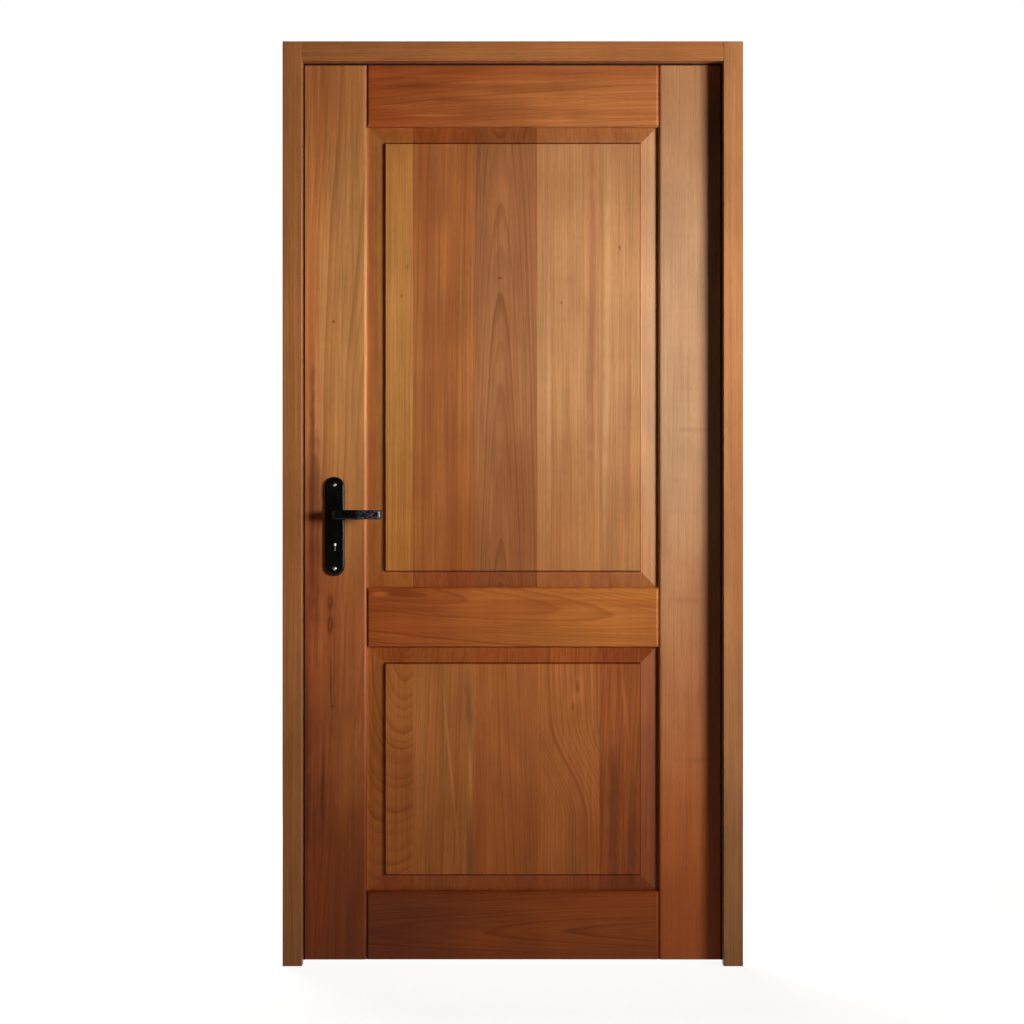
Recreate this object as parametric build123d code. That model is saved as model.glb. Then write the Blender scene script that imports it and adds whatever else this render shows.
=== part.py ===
from build123d import *
from math import asin, cos, radians, sin
import os

# Solid wood door: a framed leaf with two raised panels, hung in a rebated frame.
# Millimetres, +Z up, the floor at Z 0. Y 0 is the middle of the leaf's thickness.
# The front, on the stop side, looks towards -Y. The lock edge is at -X, the hinges at +X.

# Leaf
LEAF_WIDTH = 1000
LEAF_HEIGHT = 2100
LEAF_THICK = 44
FLOOR_GAP = 8
STILE_WIDTH = 160
TOP_RAIL_WIDTH = 160
LOCK_RAIL_WIDTH = 140
BOTTOM_RAIL_WIDTH = 160
LOWER_OPENING = 568
STICKING_R = 8
RAIL_END_R = 6
ARRIS_R = 2

# Joints between the leaf's members
GROOVE_WIDTH = 18.4
GROOVE_DEPTH = 14
TENON_THICK = 18
TENON_LENGTH = 60
TENON_SHOULDER = 24
TENON_PLAY = 0.15
MORTISE_END_PLAY = 2

# Raised panels, glued up from boards
PANEL_THICK = 44
TONGUE_THICK = 18
TONGUE_FLAT = 13
BEVEL_WIDTH = 32
COVE_R = 7
SIDE_ENTRY = 8
END_ENTRY = 13
BOARD_WIDTH = 145
BOARD_SHIFT = -15.5
BOARD_COUNT = 5

# Frame
LAP = 12
EDGE_GAP = 3
STOP_GAP = 1
JAMB_THICK = 45
FRAME_DEPTH = 90
HEAD_TENON_LENGTH = 24
HEAD_TENON_THICK = 18
HEAD_TENON_SHOULDER = 8
FIXING_HOLE_R = 4
FIXING_SINK_R = 8
FIXING_SINK_DEPTH = 14
LOWEST_FIXING = 300
TOP_FIXING_DROP = 241
FIXING_SHARES = (0, 0.3125, 0.6875, 1)

# Seal in the frame's stop
SEAL_SEAT_WIDTH = 8
SEAL_SEAT_DEPTH = 4
SEAL_LIP_REACH = 4
SEAL_LIP_THICK = 2
SEAL_PLAY = 0.1
SEAL_LEAF_GAP = 0.3

# Butt hinges
HINGE_HEIGHT = 100
HINGE_FLAP_WIDTH = 34
HINGE_FLAP_THICK = 2.5
LOWER_HINGE_RISE = 242
MIDDLE_HINGE_LIFT = 25
UPPER_HINGE_DROP = 248
KNUCKLE_R = 6.5
KNUCKLE_COUNT = 5
KNUCKLE_GAP = 0.3
KNUCKLE_CLEARANCE = 0.8
PIN_R = 4
PIN_PLAY = 0.05
PIN_CAP_R = 5.5
PIN_CAP_HEIGHT = 3
HINGE_SCREW_PITCH = 36
HINGE_SCREW_INSET = 11
HINGE_SCREW_STAGGER = 11

# Wood screws
SCREW_HEAD_R = 4
SCREW_HEAD_DEPTH = 2.4
SCREW_R = 2
SCREW_LENGTH = 22
SCREW_PLAY = 0.05
RECESS_PLAY = 0.1

# Handle set
BACKSET = 85
HANDLE_HEIGHT = 1045
PLATE_WIDTH = 46
PLATE_ABOVE = 88
PLATE_BELOW = 143
PLATE_THICK = 8
PLATE_EDGE_R = 5
PLATE_WALL = 2.5
PLATE_BOSS_R = 8
BOLT_ABOVE = 70
BOLT_BELOW = 125
BOLT_R = 2.5
BOLT_HEAD_R = 5
BOLT_HEAD_HEIGHT = 2.6
BOLT_END_PLAY = 3
SLEEVE_R = 3.6
SLEEVE_PLAY = 0.05
SLEEVE_HOLE_PLAY = 0.3
KEY_DROP = 70
KEYHOLE_R = 4
KEYHOLE_SLOT_WIDTH = 4
KEYHOLE_SLOT_DROP = 14
KEYHOLE_WOOD_PLAY = 1

# Levers
LEVER_LENGTH = 112
LEVER_PROJECTION = 60
GRIP_HEIGHT = 22
GRIP_THICK = 12
GRIP_CORNER_R = 4
ELBOW_R = 16
RETURN_R = 12
RETURN_ANGLE = 50
COLLAR_R = 11
COLLAR_LENGTH = 27
COLLAR_SETBACK = 1
COLLAR_PLAY = 0.05
FLANGE_R = 13.5
FLANGE_LENGTH = 3
CLIP_R = 15
CLIP_THICK = 1.5
CLIP_GAP = 0.3
SPINDLE_SIDE = 8
SPINDLE_PLAY = 0.1
SPINDLE_ENTRY = 22
SPINDLE_END_PLAY = 1
SPINDLE_HOLE_R = 14
GRUB_R = 2.5
GRUB_SETBACK = 15
GRUB_SINK = 1.5

# Mortise lock
FOREND_WIDTH = 22
FOREND_THICK = 3
FOREND_LENGTH = 235
CASE_THICK = 15
CASE_SHEET = 1.5
CASE_ABOVE = 45
CASE_BELOW_KEY = 35
CASE_BEHIND = 32
CASE_POCKET_PLAY = 0.5
POST_R = 3.5
POST_INSET = 9
COVER_SCREW_R = 1.6
COVER_SCREW_HEAD_R = 3
COVER_SCREW_HEAD_HEIGHT = 0.9
COVER_SCREW_LENGTH = 6
FOREND_SCREW_INSET = 10
HUB_R = 10
HUB_SIDE_PLAY = 0.3
JOURNAL_R = 9
JOURNAL_PLAY = 0.06
ARM_REACH = 20
TOE_REACH = 18
ARM_HALF_WIDTH = 3
ARM_HALF_THICK = 2
LUG_SLACK = 2.4
LUG_LENGTH = 5
LUG_DROP = 7
LATCH_RISE = 22
LATCH_HEIGHT = 18
LATCH_THICK = 11
LATCH_PROJECTION = 11
LATCH_HEAD_LENGTH = 27
LATCH_BEVEL = 9
TAIL_HEIGHT = 9
TAIL_THICK = 3
TAIL_PAST_LUG = 4
BOLT_WAY_PLAY = 0.3
DEADBOLT_RISE = 18
DEADBOLT_HEIGHT = 30
DEADBOLT_THICK = 10
DEADBOLT_HEAD_LENGTH = 40
DEADBOLT_SETBACK = 0.3
DEADBOLT_TAIL_LENGTH = 62
DEADBOLT_TAIL_HEIGHT = 18
TALON_WIDTH = 13
TALON_DEPTH = 7
SPRING_STRIP = 0.8
SPRING_WIDTH = 6
SPRING_BEND_R = 3
SPRING_GAP = 0.2
LATCH_SPRING_DROP = 30
HUB_SPRING_SPAN = 18
HUB_SPRING_DROP = 16
DETENT_SETBACK = 30
DETENT_FOOT = 6
DETENT_NOSE = 8
DETENT_RISE = 7

# Strike plate
STRIKE_WIDTH = 26
STRIKE_LENGTH = 200
STRIKE_THICK = 2.5
STRIKE_HOLE_PLAY = 2
POCKET_DEPTH = 21
STRIKE_SCREW_INSET = 12

# Cuts run past the faces they leave by this much
OVERRUN = 1

# Places that follow from the sizes above
LEAF_EDGE = LEAF_WIDTH / 2
LEAF_FACE = LEAF_THICK / 2
LEAF_BOTTOM = FLOOR_GAP
LEAF_TOP = FLOOR_GAP + LEAF_HEIGHT
OPENING_EDGE = LEAF_EDGE - STILE_WIDTH
BOTTOM_RAIL_TOP = LEAF_BOTTOM + BOTTOM_RAIL_WIDTH
LOCK_RAIL_BOTTOM = BOTTOM_RAIL_TOP + LOWER_OPENING
LOCK_RAIL_TOP = LOCK_RAIL_BOTTOM + LOCK_RAIL_WIDTH
TOP_RAIL_BOTTOM = LEAF_TOP - TOP_RAIL_WIDTH

STOP_EDGE = LEAF_EDGE - LAP
REBATE_EDGE = LEAF_EDGE + EDGE_GAP
FRAME_EDGE = STOP_EDGE + JAMB_THICK
HEAD_STOP = LEAF_TOP - LAP
HEAD_REBATE = LEAF_TOP + EDGE_GAP
FRAME_TOP = HEAD_STOP + JAMB_THICK
FRAME_BACK = LEAF_FACE
FRAME_FRONT = FRAME_BACK - FRAME_DEPTH
STOP_FACE = -LEAF_FACE - STOP_GAP
SEAL_SEAT_FLOOR = STOP_FACE - SEAL_SEAT_DEPTH
SEAL_FACE = -LEAF_FACE - SEAL_LEAF_GAP
FIXING_DEPTH = (FRAME_FRONT + STOP_FACE) / 2
FIXING_RUN = FRAME_TOP - TOP_FIXING_DROP - LOWEST_FIXING
FIXING_HEIGHTS = tuple(LOWEST_FIXING + FIXING_RUN * share for share in FIXING_SHARES)

PIVOT_X = LEAF_EDGE + EDGE_GAP / 2
PIVOT_Y = LEAF_FACE + KNUCKLE_R + KNUCKLE_CLEARANCE
LOWER_HINGE = LEAF_BOTTOM + LOWER_HINGE_RISE
UPPER_HINGE = LEAF_TOP - UPPER_HINGE_DROP
MIDDLE_HINGE = (LOWER_HINGE + UPPER_HINGE) / 2 + MIDDLE_HINGE_LIFT
HINGE_CENTRES = (LOWER_HINGE, MIDDLE_HINGE, UPPER_HINGE)

HANDLE_X = -LEAF_EDGE + BACKSET
KEY_Z = HANDLE_HEIGHT - KEY_DROP
PLATE_LENGTH = PLATE_ABOVE + PLATE_BELOW
PLATE_MIDDLE = HANDLE_HEIGHT + (PLATE_ABOVE - PLATE_BELOW) / 2
BOLT_HEIGHTS = (HANDLE_HEIGHT + BOLT_ABOVE, HANDLE_HEIGHT - BOLT_BELOW)

FOREND_BACK = -LEAF_EDGE + FOREND_THICK
CASE_BACK = HANDLE_X + CASE_BEHIND
CASE_TOP = HANDLE_HEIGHT + CASE_ABOVE
CASE_BOTTOM = KEY_Z - CASE_BELOW_KEY
CASE_MIDDLE = (CASE_TOP + CASE_BOTTOM) / 2
CASE_FACE = CASE_THICK / 2
CASE_INSIDE = CASE_FACE - CASE_SHEET
FOREND_HALF = FOREND_LENGTH / 2
LATCH_Z = HANDLE_HEIGHT + LATCH_RISE
LATCH_TIP = -LEAF_EDGE - LATCH_PROJECTION
LATCH_HEEL = LATCH_TIP + LATCH_HEAD_LENGTH
LUG_X = HANDLE_X + ARM_HALF_WIDTH + LUG_SLACK
TAIL_END = LUG_X + LUG_LENGTH + TAIL_PAST_LUG
DEADBOLT_Z = KEY_Z + DEADBOLT_RISE
DEADBOLT_TIP = -LEAF_EDGE + DEADBOLT_SETBACK


def block(x, y, z):
    """Box between two values on each axis."""
    size = (x[1] - x[0], y[1] - y[0], z[1] - z[0])
    middle = ((x[0] + x[1]) / 2, (y[0] + y[1]) / 2, (z[0] + z[1]) / 2)
    return Pos(*middle) * Box(*size)


def about(middle, half):
    """Range that reaches half to each side of its middle."""
    return (middle - half, middle + half)


def rod(radius, start, direction, length):
    """Cylinder from a start point along a direction."""
    seat = Plane(origin=start, z_dir=direction)
    return seat * Cylinder(radius, length, align=(Align.CENTER, Align.CENTER, Align.MIN))


def cross_rod(radius, height, span_y):
    """Cylinder through the leaf over a range of Y, in line with the handle, at a height."""
    return rod(radius, (HANDLE_X, span_y[0], height), (0, 1, 0), span_y[1] - span_y[0])


def countersunk(start, direction, play=0):
    """Countersunk wood screw with its flat head at start, or with play the hole for it."""
    head, shank, tip = SCREW_HEAD_R + play, SCREW_R + play, SCREW_LENGTH + play
    outline = Polyline((0, 0), (head, 0), (shank, SCREW_HEAD_DEPTH), (shank, tip), (0, tip), close=True)
    return Plane(origin=start, z_dir=direction) * revolve(Plane.XZ * make_face(outline), Axis.Z)


def both_sides(front):
    """A front piece and its twin on the back of the leaf."""
    return front, mirror(front, about=Plane.XZ)


def save(name, *solids):
    """Write one node, a single solid or a group of like solids."""
    body = solids[0] if len(solids) == 1 else Compound(children=list(solids))
    export_step(body, f"parts/{name}.step")


# Leaf: stiles, rails and panels

OPENINGS = ((BOTTOM_RAIL_TOP, LOCK_RAIL_BOTTOM), (LOCK_RAIL_TOP, TOP_RAIL_BOTTOM))
RAILS = {
    "bottom_rail": (LEAF_BOTTOM, BOTTOM_RAIL_TOP),
    "lock_rail": (LOCK_RAIL_BOTTOM, LOCK_RAIL_TOP),
    "top_rail": (TOP_RAIL_BOTTOM, LEAF_TOP),
}


def lock_side_stile():
    """Stile on the lock side, moulded on its inner edge, grooved for the panels and mortised."""
    section = Rectangle(STILE_WIDTH, LEAF_THICK)
    section = fillet(section.vertices().group_by(Axis.X)[0], ARRIS_R)
    section = fillet(section.vertices().group_by(Axis.X)[-1], STICKING_R)
    body = extrude(Pos(-LEAF_EDGE + STILE_WIDTH / 2, 0, LEAF_BOTTOM) * section, LEAF_HEIGHT)
    groove_x = (-OPENING_EDGE - GROOVE_DEPTH, -OPENING_EDGE + OVERRUN)
    for low, high in OPENINGS:
        groove_z = (low - GROOVE_DEPTH, high + GROOVE_DEPTH)
        body -= block(groove_x, about(0, GROOVE_WIDTH / 2), groove_z)
    mortise_x = (-OPENING_EDGE - TENON_LENGTH - MORTISE_END_PLAY, -OPENING_EDGE + OVERRUN)
    for low, high in RAILS.values():
        mortise_z = (low + TENON_SHOULDER - TENON_PLAY, high - TENON_SHOULDER + TENON_PLAY)
        body -= block(mortise_x, about(0, TENON_THICK / 2 + TENON_PLAY), mortise_z)
    return body


def rail(low, high):
    """Rail with round arrises on its edges and ends, grooved at each panel, tenoned at both ends."""
    section = Rectangle(LEAF_THICK, high - low)
    low_r = ARRIS_R if low == LEAF_BOTTOM else STICKING_R
    high_r = ARRIS_R if high == LEAF_TOP else STICKING_R
    section = fillet(section.vertices().group_by(Axis.Y)[0], low_r)
    section = fillet(section.vertices().group_by(Axis.Y)[-1], high_r)
    body = extrude(Plane.YZ * Pos(0, (low + high) / 2) * section, OPENING_EDGE, both=True)
    plan = Rectangle(OPENING_EDGE * 2, LEAF_THICK)
    plan = fillet(plan.vertices(), RAIL_END_R)
    body &= extrude(Pos(0, 0, low) * plan, high - low)
    grooved_x = about(0, OPENING_EDGE + OVERRUN)
    grooved_y = about(0, GROOVE_WIDTH / 2)
    if low != LEAF_BOTTOM:
        body -= block(grooved_x, grooved_y, (low - OVERRUN, low + GROOVE_DEPTH))
    if high != LEAF_TOP:
        body -= block(grooved_x, grooved_y, (high - GROOVE_DEPTH, high + OVERRUN))
    tenon_z = (low + TENON_SHOULDER, high - TENON_SHOULDER)
    return body + block(about(0, OPENING_EDGE + TENON_LENGTH), about(0, TENON_THICK / 2), tenon_z)


def fielding_cut(start, inward, depth, run):
    """What one pass along a panel's edge takes off: tongue, bevel and cove, up to the field."""
    field, tongue = TONGUE_FLAT + BEVEL_WIDTH + COVE_R, (PANEL_THICK - TONGUE_THICK) / 2
    bevel_end = field - COVE_R
    edges = Polyline((field, 0), (field, -OVERRUN), (-OVERRUN, -OVERRUN), (-OVERRUN, tongue),
                     (TONGUE_FLAT, tongue), (bevel_end, COVE_R))
    cove = CenterArc((bevel_end, 0), COVE_R, 0, 90)
    seat = Plane(origin=start, x_dir=inward, z_dir=Vector(inward).cross(Vector(depth)))
    return extrude(seat * make_face(edges + cove), run + OVERRUN, both=True)


def panel(low, high):
    """Panel raised and fielded on both faces, its edges in the grooves round one opening."""
    half_x = OPENING_EDGE + SIDE_ENTRY
    half_z = (high - low) / 2 + END_ENTRY
    middle = (low + high) / 2
    body = block(about(0, half_x), about(0, PANEL_THICK / 2), about(middle, half_z))
    for face in (-1, 1):
        face_y = face * PANEL_THICK / 2
        for side in (-1, 1):
            body -= fielding_cut((side * half_x, face_y, middle), (-side, 0, 0), (0, -face, 0), half_z)
            body -= fielding_cut((0, face_y, middle + side * half_z), (0, 0, -side), (0, -face, 0), half_x)
    return body


def boards(whole):
    """The boards that a panel is glued up from, from the lock side to the hinge side."""
    box = whole.bounding_box()
    seams = [BOARD_SHIFT + (k - BOARD_COUNT / 2) * BOARD_WIDTH for k in range(1, BOARD_COUNT)]
    edges = [box.min.X - OVERRUN, *seams, box.max.X + OVERRUN]
    spans = zip(edges[:-1], edges[1:])
    return [whole & block(span, (box.min.Y, box.max.Y), (box.min.Z, box.max.Z)) for span in spans]


# Frame: jambs and head

def jamb(inner_r):
    """Hinge-side jamb, rebated for the leaf, with its inner front arris eased."""
    outline = Polyline((STOP_EDGE, FRAME_FRONT), (FRAME_EDGE, FRAME_FRONT), (FRAME_EDGE, FRAME_BACK),
                       (REBATE_EDGE, FRAME_BACK), (REBATE_EDGE, STOP_FACE), (STOP_EDGE, STOP_FACE),
                       close=True)
    section = make_face(outline)
    if inner_r:
        section = fillet(section.vertices().sort_by_distance((STOP_EDGE, FRAME_FRONT))[:1], inner_r)
    return extrude(section, FRAME_TOP)


def head_tenon(play=0):
    """Tenon at the hinge end of the head, or with play the mortise for it."""
    tenon_x = (STOP_EDGE - OVERRUN, STOP_EDGE + HEAD_TENON_LENGTH + play)
    tenon_z = (HEAD_STOP + HEAD_TENON_SHOULDER - play, FRAME_TOP - HEAD_TENON_SHOULDER + play)
    return block(tenon_x, about(FIXING_DEPTH, HEAD_TENON_THICK / 2 + play), tenon_z)


def frame_head():
    """Head of the same section, scribed to the jambs and tenoned into them."""
    outline = Polyline((FRAME_FRONT, HEAD_STOP), (FRAME_FRONT, FRAME_TOP), (FRAME_BACK, FRAME_TOP),
                       (FRAME_BACK, HEAD_REBATE), (STOP_FACE, HEAD_REBATE), (STOP_FACE, HEAD_STOP),
                       close=True)
    section = make_face(outline)
    section = fillet(section.vertices().sort_by_distance((FRAME_FRONT, HEAD_STOP))[:1], ARRIS_R)
    body = extrude(Plane.YZ * section, REBATE_EDGE, both=True)
    square_jamb = jamb(0)
    body -= [square_jamb, mirror(square_jamb, about=Plane.YZ)]
    tenon = head_tenon()
    return body + [tenon, mirror(tenon, about=Plane.YZ)] - seal_seats()[1]


def seal_seats():
    """Rebates along the stop's corner, up the hinge-side jamb and across the head."""
    seat_y = (SEAL_SEAT_FLOOR, STOP_FACE + OVERRUN)
    seat_top = HEAD_STOP + SEAL_SEAT_WIDTH
    upright = block((STOP_EDGE - OVERRUN, STOP_EDGE + SEAL_SEAT_WIDTH), seat_y, (-OVERRUN, seat_top))
    return upright, block(about(0, STOP_EDGE), seat_y, (HEAD_STOP - OVERRUN, seat_top))


def seal_strips():
    """Seal strips with a lip over the gap at the leaf: one up each jamb and one between them."""
    root_y = (SEAL_SEAT_FLOOR + SEAL_PLAY, SEAL_FACE)
    lip_y = (SEAL_FACE - SEAL_LIP_THICK, SEAL_FACE)
    lip_edge, lip_under = STOP_EDGE - SEAL_LIP_REACH, HEAD_STOP - SEAL_LIP_REACH
    root_x = (STOP_EDGE, STOP_EDGE + SEAL_SEAT_WIDTH - SEAL_PLAY)
    root_top = HEAD_STOP + SEAL_SEAT_WIDTH - SEAL_PLAY
    upright = block(root_x, root_y, (LEAF_BOTTOM, root_top))
    upright += block((lip_edge, STOP_EDGE), lip_y, (LEAF_BOTTOM, root_top))
    head_x = about(0, lip_edge - SEAL_PLAY)
    across = block(head_x, root_y, (HEAD_STOP, root_top)) + block(head_x, lip_y, (lip_under, HEAD_STOP))
    return [upright, mirror(upright, about=Plane.YZ), across]


def drilled_jamb():
    """Hinge-side jamb with the head's mortise and the holes that fix it to the wall."""
    body = jamb(ARRIS_R) - head_tenon(TENON_PLAY) - seal_seats()[0]
    for height in FIXING_HEIGHTS:
        mouth = (STOP_EDGE, FIXING_DEPTH, height)
        body -= rod(FIXING_HOLE_R, mouth, (1, 0, 0), JAMB_THICK + OVERRUN)
        body -= rod(FIXING_SINK_R, mouth, (1, 0, 0), FIXING_SINK_DEPTH)
    return body


# Hinges

def knuckle_spans(height, first):
    """Z ranges of every second knuckle of a hinge, from the first one named."""
    pitch = HINGE_HEIGHT / KNUCKLE_COUNT
    foot = height - HINGE_HEIGHT / 2
    return [(foot + k * pitch + KNUCKLE_GAP / 2, foot + (k + 1) * pitch - KNUCKLE_GAP / 2)
            for k in range(first, KNUCKLE_COUNT, 2)]


def hinge_screw_starts(edge, height):
    """Heads of a flap's screws, the middle one set further from the knuckles."""
    near, far = LEAF_FACE - HINGE_SCREW_INSET, LEAF_FACE - HINGE_SCREW_INSET - HINGE_SCREW_STAGGER
    offsets = (-HINGE_SCREW_PITCH, 0, HINGE_SCREW_PITCH)
    return [(edge, near if offset else far, height + offset) for offset in offsets]


def flap_blank(span_x, height, play=0):
    """Flat of a hinge flap, let in flush, or with play the recess for it."""
    flap_y = (LEAF_FACE - HINGE_FLAP_WIDTH - play, LEAF_FACE)
    return block(span_x, flap_y, about(height, HINGE_HEIGHT / 2 + play))


def hinge_flap(span_x, height, first):
    """Flap with its knuckles, from the first one named, bored for the pin."""
    body = flap_blank(span_x, height)
    for low, high in knuckle_spans(height, first):
        body += block(span_x, (LEAF_FACE, PIVOT_Y), (low, high))
        body += rod(KNUCKLE_R, (PIVOT_X, PIVOT_Y, low), (0, 0, 1), high - low)
    foot = (PIVOT_X, PIVOT_Y, height - HINGE_HEIGHT / 2 - OVERRUN)
    return body - rod(PIN_R + PIN_PLAY, foot, (0, 0, 1), HINGE_HEIGHT + OVERRUN * 2)


def hinge_pin(height):
    """Pin through the knuckles with a cap at each end."""
    foot = height - HINGE_HEIGHT / 2 - PIN_CAP_HEIGHT
    top = height + HINGE_HEIGHT / 2
    body = rod(PIN_R, (PIVOT_X, PIVOT_Y, foot), (0, 0, 1), top - foot)
    for cap in (foot, top):
        body += rod(PIN_CAP_R, (PIVOT_X, PIVOT_Y, cap), (0, 0, 1), PIN_CAP_HEIGHT)
    return body


# Handle set

def keyhole(span_y, play=0):
    """Round-topped keyhole through a range of Y."""
    hole = cross_rod(KEYHOLE_R + play, KEY_Z, span_y)
    slot_z = (KEY_Z - KEYHOLE_SLOT_DROP - play, KEY_Z)
    return hole + block(about(HANDLE_X, KEYHOLE_SLOT_WIDTH / 2 + play), span_y, slot_z)


def front_plate():
    """Long plate with round ends and a soft edge, hollow behind, bossed round its bolts."""
    seat = Plane(origin=(HANDLE_X, -LEAF_FACE, PLATE_MIDDLE), x_dir=(1, 0, 0), z_dir=(0, -1, 0))
    body = extrude(SlotOverall(PLATE_LENGTH, PLATE_WIDTH, rotation=90), PLATE_THICK)
    body = fillet(body.faces().sort_by(Axis.Z)[-1].edges(), PLATE_EDGE_R)
    inside = SlotOverall(PLATE_LENGTH - PLATE_WALL * 2, PLATE_WIDTH - PLATE_WALL * 2, rotation=90)
    body = seat * (body - extrude(inside, PLATE_THICK - PLATE_WALL))
    through_y = (-LEAF_FACE - PLATE_THICK - OVERRUN, -LEAF_FACE)
    for height in BOLT_HEIGHTS:
        body += cross_rod(PLATE_BOSS_R, height, (-LEAF_FACE - PLATE_THICK + PLATE_WALL, -LEAF_FACE))
        body -= cross_rod(SLEEVE_R + SLEEVE_PLAY, height, through_y)
    return body - cross_rod(COLLAR_R + COLLAR_PLAY, HANDLE_HEIGHT, through_y) - keyhole(through_y)


def bolt_head(height):
    """Domed bolt head that sits on the front plate."""
    face = -LEAF_FACE - PLATE_THICK
    dome_r = (BOLT_HEAD_R**2 + BOLT_HEAD_HEIGHT**2) / (BOLT_HEAD_HEIGHT * 2)
    half_turn = asin(BOLT_HEAD_R / dome_r) / 2
    middle = (dome_r * sin(half_turn), BOLT_HEAD_HEIGHT - dome_r * (1 - cos(half_turn)))
    outline = ThreePointArc((BOLT_HEAD_R, 0), middle, (0, BOLT_HEAD_HEIGHT))
    outline += Polyline((0, BOLT_HEAD_HEIGHT), (0, 0), (BOLT_HEAD_R, 0))
    dome = revolve(Plane.XZ * make_face(outline), Axis.Z)
    return Plane(origin=(HANDLE_X, face, height), z_dir=(0, -1, 0)) * dome


def plate_bolt(height):
    """Bolt from the front plate through the stile."""
    return bolt_head(height) + cross_rod(BOLT_R, height, (-LEAF_FACE - PLATE_THICK, 0))


def sleeve_nut(height):
    """Sleeve nut on the rear plate that takes the bolt's end."""
    body = mirror(bolt_head(height), about=Plane.XZ)
    body += cross_rod(SLEEVE_R, height, (-BOLT_END_PLAY, LEAF_FACE + PLATE_THICK))
    return body - cross_rod(BOLT_R + SLEEVE_PLAY, height, about(0, BOLT_END_PLAY))


def front_lever():
    """Flat bar bent out from its collar, along the leaf and back in at the tip."""
    seat = Plane(origin=(HANDLE_X, -LEAF_FACE, HANDLE_HEIGHT), x_dir=(1, 0, 0), z_dir=(0, 0, -1))
    axis_out = LEVER_PROJECTION - GRIP_THICK / 2
    bar_end = LEVER_LENGTH - (RETURN_R + GRIP_THICK / 2) * sin(radians(RETURN_ANGLE))
    neck = Line((0, COLLAR_SETBACK + COLLAR_LENGTH / 2), (0, axis_out - ELBOW_R))
    elbow = JernArc(neck @ 1, neck % 1, ELBOW_R, -90)
    bar = Line(elbow @ 1, (bar_end, axis_out))
    tip = JernArc(bar @ 1, bar % 1, RETURN_R, -RETURN_ANGLE)
    path = seat * Wire([neck.edge(), elbow.edge(), bar.edge(), tip.edge()])
    section = fillet(Rectangle(GRIP_THICK, GRIP_HEIGHT).vertices(), GRIP_CORNER_R)
    body = sweep(Plane(origin=path @ 0, x_dir=(1, 0, 0), z_dir=path % 0) * section, path)
    foot = -LEAF_FACE - COLLAR_SETBACK
    body += cross_rod(COLLAR_R, HANDLE_HEIGHT, (foot - COLLAR_LENGTH, foot))
    flange = -LEAF_FACE - PLATE_THICK - CLIP_GAP
    body += cross_rod(FLANGE_R, HANDLE_HEIGHT, (flange - FLANGE_LENGTH, flange))
    body -= square_way((-LEAF_FACE - SPINDLE_ENTRY - SPINDLE_END_PLAY, -LEAF_FACE), SPINDLE_PLAY)
    return body - rod(GRUB_R, grub_mouth(), (0, 0, 1), COLLAR_R)


def square_way(span_y, play=0):
    """Square bar on the handle's axis, or with play the hole for it."""
    half = SPINDLE_SIDE / 2 + play
    return block(about(HANDLE_X, half), span_y, about(HANDLE_HEIGHT, half))


def grub_mouth():
    """Where the grub screw enters the underside of the front collar."""
    return (HANDLE_X, -LEAF_FACE - GRUB_SETBACK, HANDLE_HEIGHT - COLLAR_R)


def front_grub():
    """Grub screw that holds the front lever on the spindle."""
    start = Vector(grub_mouth()) + Vector(0, 0, GRUB_SINK)
    return rod(GRUB_R, start, (0, 0, 1), COLLAR_R - GRUB_SINK - SPINDLE_SIDE / 2)


def front_clip():
    """Spring clip that keeps the front lever's collar in its plate."""
    foot = -LEAF_FACE - PLATE_THICK + PLATE_WALL + CLIP_GAP
    span_y = (foot, foot + CLIP_THICK)
    return cross_rod(CLIP_R, HANDLE_HEIGHT, span_y) - cross_rod(COLLAR_R, HANDLE_HEIGHT, span_y)


# Mortise lock

def bolt_way(middle_z, height, thick, span_x, play):
    """Room for a bolt's head over a range of X."""
    return block(span_x, about(0, thick / 2 + play), about(middle_z, height / 2 + play))


def bolt_ways(span_x, play):
    """Room for the latch and the deadbolt over a range of X."""
    latch = bolt_way(LATCH_Z, LATCH_HEIGHT, LATCH_THICK, span_x, play)
    return [latch, bolt_way(DEADBOLT_Z, DEADBOLT_HEIGHT, DEADBOLT_THICK, span_x, play)]


def cover_screw_places():
    """Where posts stand in the case for the cover's screws."""
    back = CASE_BACK - POST_INSET
    low = CASE_BOTTOM + POST_INSET
    return [(back, CASE_TOP - POST_INSET), (back, low), (FOREND_BACK + POST_INSET, low)]


def lock_case():
    """Folded case, open at the front, with posts and ways for the bolts, the hub and the key."""
    outer_x, outer_z = (FOREND_BACK, CASE_BACK), (CASE_BOTTOM, CASE_TOP)
    inner_x = (FOREND_BACK + CASE_SHEET, CASE_BACK - CASE_SHEET)
    inner_z = (CASE_BOTTOM + CASE_SHEET, CASE_TOP - CASE_SHEET)
    body = block(outer_x, (-CASE_INSIDE, CASE_FACE), outer_z)
    body -= block(inner_x, (-CASE_INSIDE, CASE_INSIDE), inner_z)
    for x, z in cover_screw_places():
        body += rod(POST_R, (x, CASE_INSIDE, z), (0, -1, 0), CASE_INSIDE * 2)
        body -= rod(COVER_SCREW_R, (x, -CASE_INSIDE, z), (0, 1, 0), COVER_SCREW_LENGTH)
    for x, z in spring_posts():
        body += rod(POST_R, (x, CASE_INSIDE, z), (0, -1, 0), CASE_INSIDE * 2)
    body -= bolt_ways((FOREND_BACK - OVERRUN, inner_x[0]), BOLT_WAY_PLAY)
    return body - hub_and_key_ways((0, CASE_FACE + OVERRUN))


def hub_and_key_ways(span_y):
    """Bearing hole for the hub and the keyhole, through one wall of the case."""
    return [cross_rod(JOURNAL_R + JOURNAL_PLAY, HANDLE_HEIGHT, span_y), keyhole(span_y)]


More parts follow.
